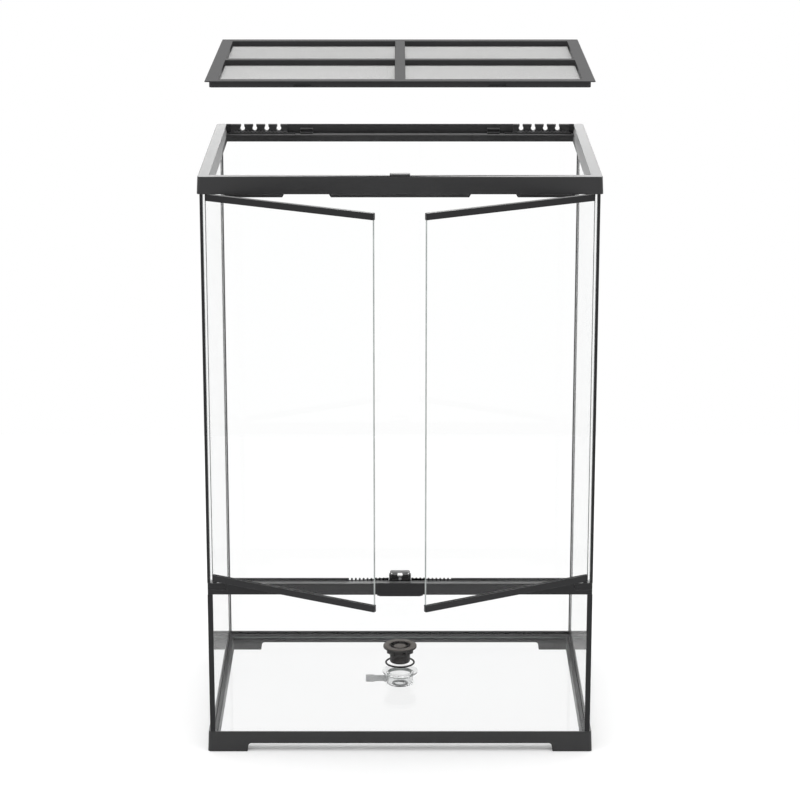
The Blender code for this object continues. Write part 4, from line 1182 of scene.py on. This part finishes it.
@dataclass
class WovenScreen:
    """A panel of crimped wire: straight wires one way, and wires that weave over and under them.

    Attributes:
        node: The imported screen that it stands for.
        pitch: Distance between wires.
        wire: Diameter of a wire.
        sides: Sides of a wire's section.
        seam: Gap between two lengths of a wire that is closed, as a share of its diameter.
    """

    node: str
    pitch: float = 0.0020
    wire: float = 0.00046
    sides: int = 4
    seam: float = 0.02

    def section(self, shape: Shape, start: Vector, axis: str, filled: bool) -> list[Any]:
        """Draw a wire's section where the wire starts.

        Args:
            shape: The mesh that it is added to.
            start: Where the wire starts.
            axis: The axis about which the section is turned upright.
            filled: Whether the section gets a face.

        Returns:
            The section's corners.
        """
        turn = Matrix.Translation(start) @ Matrix.Rotation(math.pi / 2, 4, axis)
        made = bmesh.ops.create_circle(
            shape, cap_ends=filled, segments=self.sides, radius=self.wire / 2, matrix=turn
        )
        return made["verts"]

    @staticmethod
    def repeat(shape: Shape, step: Triple, times: int) -> None:
        """Repeat a whole mesh along a line.

        Args:
            shape: The mesh.
            step: Distance from one copy to the next.
            times: How many more there are to be.
        """
        bmesh.ops.spin(
            shape,
            geom=shape.verts[:] + shape.edges[:] + shape.faces[:],
            cent=(0.0, 0.0, 0.0),
            axis=(0.0, 0.0, 1.0),
            dvec=step,
            angle=0.0,
            steps=times,
            use_duplicate=True,
        )

    def straight_wires(self, low: Vector, high: Vector, count: int) -> Shape:
        """Lay the straight wires, which run from front to back.

        Args:
            low: The panel's lowest corner.
            high: The panel's highest corner.
            count: How many wires there are.

        Returns:
            A mesh of the wires.
        """
        shape = bmesh.new()
        step = (high.x - low.x - self.wire) / (count - 1)
        start = Vector((low.x + self.wire / 2, low.y, (low.z + high.z) / 2))
        corners = self.section(shape, start, "X", True)
        cap = list({face for corner in corners for face in corner.link_faces})
        grown = bmesh.ops.extrude_face_region(shape, geom=cap, use_keep_orig=True)["geom"]
        ends = [item for item in grown if isinstance(item, bmesh.types.BMVert)]
        bmesh.ops.translate(shape, verts=ends, vec=(0.0, high.y - low.y, 0.0))
        self.repeat(shape, (step, 0.0, 0.0), count - 1)
        return shape

    def woven_pair(self, low: Vector, high: Vector, count: int, pitch: float) -> Shape:
        """Make two neighbouring woven wires.

        Args:
            low: The panel's lowest corner.
            high: The panel's highest corner.
            count: How many straight wires they cross.
            pitch: Distance between the two.

        Returns:
            A mesh of the two wires.
        """
        shape = bmesh.new()
        span = (high.x - low.x - self.wire) / (count - 1)
        rise = (high.z - low.z - self.wire) / 2
        middle = (low.z + high.z) / 2
        for line, swing in enumerate((rise, -rise)):
            across = low.y + self.wire / 2 + line * pitch
            start = Vector((low.x + self.wire / 2, across, middle + swing))
            corners = self.section(shape, start, "Y", False)
            edges = list({edge for corner in corners for edge in corner.link_edges})
            for climb in (-2 * swing, 2 * swing):
                grown = bmesh.ops.extrude_edge_only(shape, edges=edges)["geom"]
                ends = [item for item in grown if isinstance(item, bmesh.types.BMVert)]
                edges = [
                    item
                    for item in grown
                    if isinstance(item, bmesh.types.BMEdge) and all(v in ends for v in item.verts)
                ]
                bmesh.ops.translate(shape, verts=ends, vec=(span, 0.0, climb))
        self.repeat(shape, (2 * span, 0.0, 0.0), (count - 1) // 2 - 1)
        bmesh.ops.remove_doubles(shape, verts=shape.verts[:], dist=self.wire * self.seam)
        bmesh.ops.holes_fill(shape, edges=shape.edges[:], sides=self.sides)
        return shape

    def build(self, bench: Workbench) -> bpy.types.Object:
        """Weave the panel.

        Args:
            bench: The bench that makes the pieces.

        Returns:
            The piece.
        """
        low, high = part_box(self.node)
        count = 2 * round((high.x - low.x) / self.pitch / 2) + 1
        lines = 2 * round((high.y - low.y) / self.pitch / 2)
        pitch = (high.y - low.y - self.wire) / (lines - 1)
        shape = self.woven_pair(low, high, count, pitch)
        self.repeat(shape, (0.0, 2 * pitch, 0.0), lines // 2 - 1)
        straight = as_mesh("straight_wires", self.straight_wires(low, high, count))
        shape.from_mesh(straight)
        bpy.data.meshes.remove(straight)
        bmesh.ops.recalc_face_normals(shape, faces=shape.faces[:])
        for face in shape.faces:
            face.smooth = len(face.verts) == 4 and face.calc_area() > self.wire**2
        return bench.piece(f"{self.node}_woven", shape, [WIRE], Slot.SCREEN, [self.node])


@dataclass
class ScreenLid:
    """The lift-off lid: a moulded frame with four woven screens.

    Attributes:
        edge: Radius of the frame's edges.
    """

    edge: float = 0.0006

    def build(self, bench: Workbench) -> None:
        """Make the lid.

        Args:
            bench: The bench that makes the pieces.
        """
        bench.soften("lid_frame", LID_PLASTIC, Slot.FRAME, Softener(self.edge))
        for row in ("front", "back"):
            for side in Side:
                WovenScreen(f"{row}_{side.value}_screen").build(bench)


@dataclass(frozen=True)
class Turning:
    """A round part turned from a profile.

    Attributes:
        profile: Corners of the profile, as radius and height.
        rounding: Radius of the profile's corners.
        steps: Steps round the part.
    """

    profile: Profile
    rounding: float = 0.0004
    steps: int = 96

    def turn(self, place: Matrix) -> Shape:
        """Turn the part.

        Args:
            place: Where it goes.

        Returns:
            Its mesh, closed.
        """
        shape = bmesh.new()
        face = shape.faces.new([shape.verts.new((r, 0.0, z)) for r, z in self.profile])
        corners = [corner for corner in face.verts if corner.co.x > ON_AXIS]
        bmesh.ops.bevel(
            shape,
            geom=corners,
            offset=self.rounding,
            segments=3,
            profile=0.5,
            affect="VERTICES",
            clamp_overlap=True,
            material=-1,
        )
        bmesh.ops.delete(shape, geom=shape.faces[:], context="FACES_ONLY")
        centre = [edge for edge in shape.edges if all(v.co.x < ON_AXIS for v in edge.verts)]
        bmesh.ops.delete(shape, geom=centre, context="EDGES")
        return self.swept(shape, self.steps, place)

    @staticmethod
    def swept(shape: Shape, steps: int, place: Matrix) -> Shape:
        """Sweep an outline all the way round the Z axis.

        Args:
            shape: The outline, which becomes the surface.
            steps: Steps round it.
            place: Where it goes.

        Returns:
            The same shape, closed.
        """
        bmesh.ops.spin(
            shape,
            geom=shape.verts[:] + shape.edges[:],
            cent=(0.0, 0.0, 0.0),
            axis=(0.0, 0.0, 1.0),
            angle=math.tau,
            steps=steps,
            use_merge=True,
        )
        bmesh.ops.remove_doubles(shape, verts=shape.verts[:], dist=SAME_PLACE)
        bmesh.ops.recalc_face_normals(shape, faces=shape.faces[:])
        bmesh.ops.transform(shape, matrix=place, verts=shape.verts[:])
        return shape


class Carver:
    """Cuts and joins meshes."""

    @staticmethod
    def blocks(low: Triple, high: Triple, count: int, first: float, place: Matrix) -> Shape:
        """Make like blocks round an axis.

        Args:
            low: Lowest corner of the block that lies along +X.
            high: Its highest corner.
            count: How many blocks there are.
            first: The first one's turn, as a share of the step between two.
            place: Where the axis stands.

        Returns:
            A mesh of the blocks.
        """
        shape = bmesh.new()
        size = Vector(high) - Vector(low)
        middle = (Vector(high) + Vector(low)) / 2
        for index in range(count):
            turn = Matrix.Rotation(math.tau * (index + first) / count, 4, "Z")
            at = place @ turn @ Matrix.Translation(middle) @ Matrix.Diagonal((*size, 1.0))
            bmesh.ops.create_cube(shape, size=1.0, matrix=at)
        return shape

    @staticmethod
    def carve(shape: Shape, tool: Shape, how: str = "DIFFERENCE") -> Shape:
        """Cut a tool out of a shape, or join it on.

        Args:
            shape: The shape, which is freed.
            tool: The tool, which is freed.
            how: The boolean operation.

        Returns:
            The new shape.
        """
        blank, cutter = (in_scene("blank", as_mesh("blank", part)) for part in (shape, tool))
        cut = blank.modifiers.new("cut", "BOOLEAN")
        cut.operation = how
        cut.object = cutter
        cut.solver = "EXACT"
        view = bpy.context.evaluated_depsgraph_get()
        result = bmesh.new()
        result.from_object(blank, view)
        for passing in (blank, cutter):
            mesh = passing.data
            bpy.data.objects.remove(passing)
            bpy.data.meshes.remove(mesh)
        bmesh.ops.remove_doubles(result, verts=result.verts[:], dist=SAME_PLACE)
        return result

    @staticmethod
    def shade(shape: Shape, crease: float = math.radians(32.0)) -> Shape:
        """Smooth a shape's faces but for its sharp edges.

        Args:
            shape: The shape.
            crease: Least angle of a sharp edge.

        Returns:
            The shape.
        """
        for face in shape.faces:
            face.smooth = True
        for edge in shape.edges:
            edge.smooth = edge.calc_face_angle(0.0) < crease
        return shape


@dataclass
class FloorDrain:
    """The drain in the tank's floor: socket, outlet, spigot, seal and strainer.

    Attributes:
        axis: X and Y of the drain's middle.
        socket: The socket's profile.
        ring: The outlet ring's profile.
        seal: Radius, cord radius and height of the seal.
        snug: Share of the cord's radius that is shown, so that it stays inside its solid.
        flange: Radius, underside and top of the strainer's flange.
        shaft: Outer and inner radius and tip height of its shaft.
        well: Radius and depth of the well in its top, and thickness of the grate.
        brim: How far the raised middle of the well reaches over the slots.
        slot: Near and far end, width and depth of a slot of the grate.
        slots: How many slots there are.
        tooth: Near and far end, width and depth of the gap between two teeth round the well.
        past: How far a block that cuts slots or gaps reaches past the surface.
        window: Width, lowest and highest edge of a window in the shaft.
        windows: How many windows there are.
        bite: How far a block that cuts windows reaches past the shaft's wall.
        lug: Near and far face, width and length of a lug.
        lugs: How many lugs there are.
        root: How far a lug is sunk into the flange.
        lug_edge: Radius of a lug's edges.
        play: Room round a lug in its notch in the socket.
        notch: Depth of a notch.
        thread: Turns, pitch and depth of the thread.
        lead: How much further than its turns the thread starts above the tip.
        slack: Tolerance on where a face of the strainer lies.
        rise: Cosine of the steepest face that counts as looking up.
    """

    axis: tuple[float, float] = (0.0, 0.1181)
    socket: Profile = (
        (0.0295, 0.0288),
        (0.0295, 0.0258),
        (0.0220, 0.0258),
        (0.0220, 0.0046),
        (0.0092, 0.0046),
        (0.0092, 0.0012),
        (0.0076, 0.0012),
        (0.0076, 0.0064),
        (0.0200, 0.0064),
        (0.0200, 0.0288),
    )
    ring: Profile = (
        (0.0130, 0.0043),
        (0.0130, 0.0015),
        (0.0095, 0.0015),
        (0.0095, 0.0043),
    )
    seal: Triple = (0.0235, 0.0015, 0.0434)
    snug: float = 0.99
    flange: Triple = (0.0280, 0.0707, 0.0742)
    shaft: Triple = (0.0170, 0.0148, 0.0452)
    well: Triple = (0.0165, 0.0015, 0.0020)
    brim: float = 0.0012
    slot: tuple[float, float, float, float] = (0.0095, 0.0160, 0.0016, 0.0060)
    slots: int = 22
    tooth: tuple[float, float, float, float] = (0.0150, 0.0190, 0.0027, 0.0022)
    past: float = 0.0007
    window: Triple = (0.0060, 0.0582, 0.0667)
    windows: int = 8
    bite: float = 0.0020
    lug: tuple[float, float, float, float] = (0.0253, 0.0278, 0.0070, 0.0050)
    lugs: int = 4
    root: float = 0.0010
    lug_edge: float = 0.0004
    play: float = 0.0005
    notch: float = 0.0026
    thread: tuple[int, float, float] = (3, 0.0026, 0.0008)
    lead: float = 0.0010
    slack: float = 0.0001
    rise: float = 0.5

    def build(self, bench: Workbench) -> None:
        """Turn, carve and dress the drain.

        Args:
            bench: The bench that makes the pieces.
        """
        place = Matrix.Translation((*self.axis, 0.0))
        self.build_socket(bench, place)
        ring = Carver.shade(Turning(self.ring, rounding=0.0005).turn(place))
        bench.piece("outlet_ring_turned", ring, [RING_PLASTIC], Slot.GREY, ["drain_outlet_ring"])
        bench.soften("drain_spigot", GREY_PLASTIC, Slot.GREY, Softener(edge=0.0003))
        self.build_seal(bench, place)
        self.build_strainer(bench, place)

    def build_socket(self, bench: Workbench, place: Matrix) -> None:
        """Turn the clear socket and cut the notches for the strainer's lugs.

        Args:
            bench: The bench that makes the pieces.
            place: Where the drain's axis stands.
        """
        shape = Turning(self.socket, rounding=0.0006).turn(place)
        near, far, width, length = self.lug
        rim = self.socket[0][1]
        low = (near - self.play, -width / 2 - self.play, rim - self.notch)
        high = (far + self.play, width / 2 + self.play, rim + length)
        notches = Carver.blocks(low, high, self.lugs, first=0.5, place=place)
        shape = Carver.shade(Carver.carve(shape, notches))
        bench.piece("socket_turned", shape, [CLEAR_PLASTIC], Slot.CLEAR, ["drain_socket"])

    def build_seal(self, bench: Workbench, place: Matrix) -> None:
        """Turn the seal from its round cord.

        Args:
            bench: The bench that makes the pieces.
            place: Where the drain's axis stands.
        """
        radius, cord, height = self.seal
        shape = bmesh.new()
        upright = Matrix.Translation((radius, 0.0, height)) @ Matrix.Rotation(math.pi / 2, 4, "X")
        bmesh.ops.create_circle(shape, segments=20, radius=cord * self.snug, matrix=upright)
        shape = Carver.shade(Turning.swept(shape, steps=120, place=place))
        bench.piece("seal_turned", shape, [RUBBER], Slot.SEAL, ["drain_seal"])

    def strainer_profile(self) -> Profile:
        """Work out the strainer's profile with its well and its thread.

        Returns:
            The profile.
        """
        radius, underside, top = self.flange
        outer, inner, tip = self.shaft
        well_radius, well_drop, grate = self.well
        turns, pitch, depth = self.thread
        start = tip + turns * pitch + self.lead
        floor = top - well_drop
        hub = self.slot[0] + self.brim
        profile = [
            (well_radius, top),
            (radius, top),
            (radius, underside),
            (outer, underside),
            (outer, start + pitch / 2),
        ]
        for index in range(turns):
            profile.append((outer - depth, start - index * pitch))
            profile.append((outer, start - index * pitch - pitch / 2))
        profile += [
            (outer - depth, tip),
            (inner, tip),
            (inner, floor - grate),
            (0.0, floor - grate),
            (0.0, floor),
            (hub, floor),
            (hub, floor - grate / 2),
            (well_radius, floor - grate / 2),
        ]
        return tuple(profile)

    def ring_of_cuts(self, cut: tuple[float, ...], top: float, place: Matrix) -> Shape:
        """Make the blocks that cut one opening for each slot.

        Args:
            cut: Near and far end, width and depth of an opening.
            top: Height of the surface that they are cut into.
            place: Where the drain's axis stands.

        Returns:
            A mesh of the blocks.
        """
        near, far, width, depth = cut
        low = (near, -width / 2, top - depth)
        high = (far, width / 2, top + self.past)
        return Carver.blocks(low, high, self.slots, first=0.0, place=place)

    def build_strainer(self, bench: Workbench, place: Matrix) -> None:
        """Turn the strainer, cut its slots, gaps and windows, add its lugs, and paint light on its
        top and shade in its well.

        Args:
            bench: The bench that makes the pieces.
            place: Where the drain's axis stands.
        """
        underside, top = self.flange[1:]
        well = top - self.well[1]
        shape = Turning(self.strainer_profile()).turn(place)
        shape = Carver.carve(shape, self.ring_of_cuts(self.slot, well, place))
        shape = Carver.carve(shape, self.ring_of_cuts(self.tooth, top, place))
        width, sill, head = self.window
        low = (self.shaft[1] - self.bite, -width / 2, sill)
        high = (self.shaft[0] + self.bite, width / 2, head)
        windows = Carver.blocks(low, high, self.windows, first=0.5, place=place)
        shape = Carver.carve(shape, windows)
        near, far, width, length = self.lug
        low = (near, -width / 2, underside - length)
        high = (far, width / 2, underside + self.root)
        lugs = Carver.blocks(low, high, self.lugs, first=0.5, place=place)
        bmesh.ops.bevel(
            lugs,
            geom=lugs.edges[:],
            offset=self.lug_edge,
            segments=2,
            profile=0.5,
            affect="EDGES",
            material=-1,
        )
        shape = Carver.shade(Carver.carve(shape, lugs, "UNION"))
        for face in shape.faces:
            # Faces looking up near the top take the lighter copy as painted light, faces in the well
            # round the grate take the near black copy as painted shade, and the rest take the darker
            # shaded copy.
            middle = face.calc_center_median()
            painted_lit_top = face.normal.z > self.rise and middle.z > well - 2 * self.slack
            across = (middle.xy - Vector(self.axis)).length
            sunk = across < self.tooth[1] + self.slack and middle.z > underside
            face.material_index = 0 if painted_lit_top else 2 if sunk else 1
        finishes = [STRAINER_PAINTED_LIGHT_TOP, STRAINER_SHADE, STRAINER_PAINTED_WELL_SHADE]
        bench.piece("strainer_turned", shape, finishes, Slot.STRAINER, ["drain_strainer"])


@dataclass
class Studio:
    """The floor, the white surround, the soft lamps and the camera.

    Attributes:
        floor: Width of the floor.
        gap: How far the floor lies under the tank.
        lens: The camera's focal length, in millimetres.
        film: Width of its sensor, in millimetres.
        stand: The camera's place.
        tilt: How far it looks up from straight down, in degrees.
        ambient: Strength of the surround as a light.
        lamps: Each lamp's place, size and power.
        rim_lamp: The same of the lamp behind the tank, which only glosses the mouldings.
        aim: The place that every lamp faces.
        bounces: How often light may bounce or pass through glass.
        clear_bounces: How many clear faces lamplight may pass.
    """

    floor: float = 3.2
    gap: float = 0.0002
    lens: float = 122.4
    film: float = 36.0
    stand: Triple = (0.0, -4.1669, 1.711)
    tilt: float = 74.23
    ambient: float = 0.90
    lamps: dict[str, tuple[Triple, float, float]] = field(
        default_factory=lambda: {
            "overhead_softbox": ((0.0, -0.1, 3.0), 2.4, 18.0),
            "left_softbox": ((-2.2, -1.8, 1.9), 1.4, 5.0),
            "right_softbox": ((2.2, -1.8, 1.9), 1.4, 5.0),
        }
    )
    rim_lamp: tuple[Triple, float, float] = ((0.0, 3.4, 1.4), 1.8, 36.0)
    aim: Triple = (0.0, 0.0, 0.5)
    bounces: int = 24
    clear_bounces: int = 32

    def lay_floor(self, bench: Workbench) -> None:
        """Lay the floor, just under the tank.

        Args:
            bench: The bench that makes the materials.
        """
        shape = bmesh.new()
        sheet = Matrix.Translation((0.0, 0.0, -self.gap))
        bmesh.ops.create_grid(shape, x_segments=4, y_segments=4, size=self.floor / 2, matrix=sheet)
        mesh = as_mesh("studio_floor", shape)
        mesh.materials.append(bench.material(StudioFloor("studio_floor")))
        in_scene("studio_floor", mesh)

    def hang(self, name: str, place: Triple, size: float, power: float) -> bpy.types.Object:
        """Hang one soft lamp.

        Args:
            name: Its name.
            place: Where it hangs.
            size: Its width.
            power: Its power in watts.

        Returns:
            The lamp.
        """
        lamp = bpy.data.lights.new(name, "AREA")
        lamp.shape = "SQUARE"
        lamp.size = size
        lamp.energy = power
        made = in_scene(name, lamp)
        made.location = place
        facing = Vector(self.aim) - Vector(place)
        made.rotation_euler = facing.to_track_quat("-Z", "Y").to_euler()
        return made

    def hang_lamps(self, bench: Workbench) -> None:
        """Hang the soft lamps, and the one that only glosses the mouldings.

        Args:
            bench: The bench that knows the mouldings.
        """
        for name, setting in self.lamps.items():
            self.hang(name, *setting)
        rim = self.hang("rim_softbox", *self.rim_lamp)
        rim.visible_camera = False
        rim.visible_diffuse = False
        rim.visible_transmission = False
        rim.light_linking.receiver_collection = bench.rim_lit

    def surround(self) -> None:
        """Make the surround white to whatever looks at it, and a plain light to the rest."""
        mix = Recipe(bpy.data.worlds.new("studio_surround"))
        camera, mirror, glass = mix.signals("ShaderNodeLightPath", SIGHT)
        level = self.ambient + camera.or_more(mirror).or_more(glass) * (1.0 - self.ambient)
        light = mix.shader("ShaderNodeBackground", {"Color": WHITE, "Strength": level})
        bpy.context.scene.world = mix.done(light)

    def set_camera(self) -> None:
        """Stand the camera where the photograph was taken from."""
        lens = bpy.data.cameras.new("photo_camera")
        lens.sensor_width = self.film
        lens.lens = self.lens
        made = in_scene("photo_camera", lens)
        made.location = self.stand
        made.rotation_euler = (math.radians(self.tilt), 0.0, 0.0)
        bpy.context.scene.camera = made

    def build(self, bench: Workbench) -> None:
        """Set up the studio.

        Args:
            bench: The bench that makes the materials.
        """
        self.lay_floor(bench)
        self.hang_lamps(bench)
        self.surround()
        self.set_camera()
        scene = bpy.context.scene
        scene.view_settings.view_transform = "Standard"
        scene.cycles.transparent_max_bounces = self.clear_bounces
        scene.cycles.transmission_bounces = self.bounces
        scene.cycles.max_bounces = self.bounces


def main() -> None:
    """Build every sub-assembly of the scene in order."""
    logging.basicConfig(level=logging.INFO, format="%(name)s %(message)s")
    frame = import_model()
    bench = Workbench(frame)
    Studio().build(bench)
    for part in (
        TankFrame(),
        MiddleRail(),
        GlassBox(),
        DoorPair(),
        DoorLock(),
        ScreenLid(),
        FloorDrain(),
    ):
        part.build(bench)
        LOG.info("%s is ready", type(part).__name__)


if __name__ == "__main__":
    main()
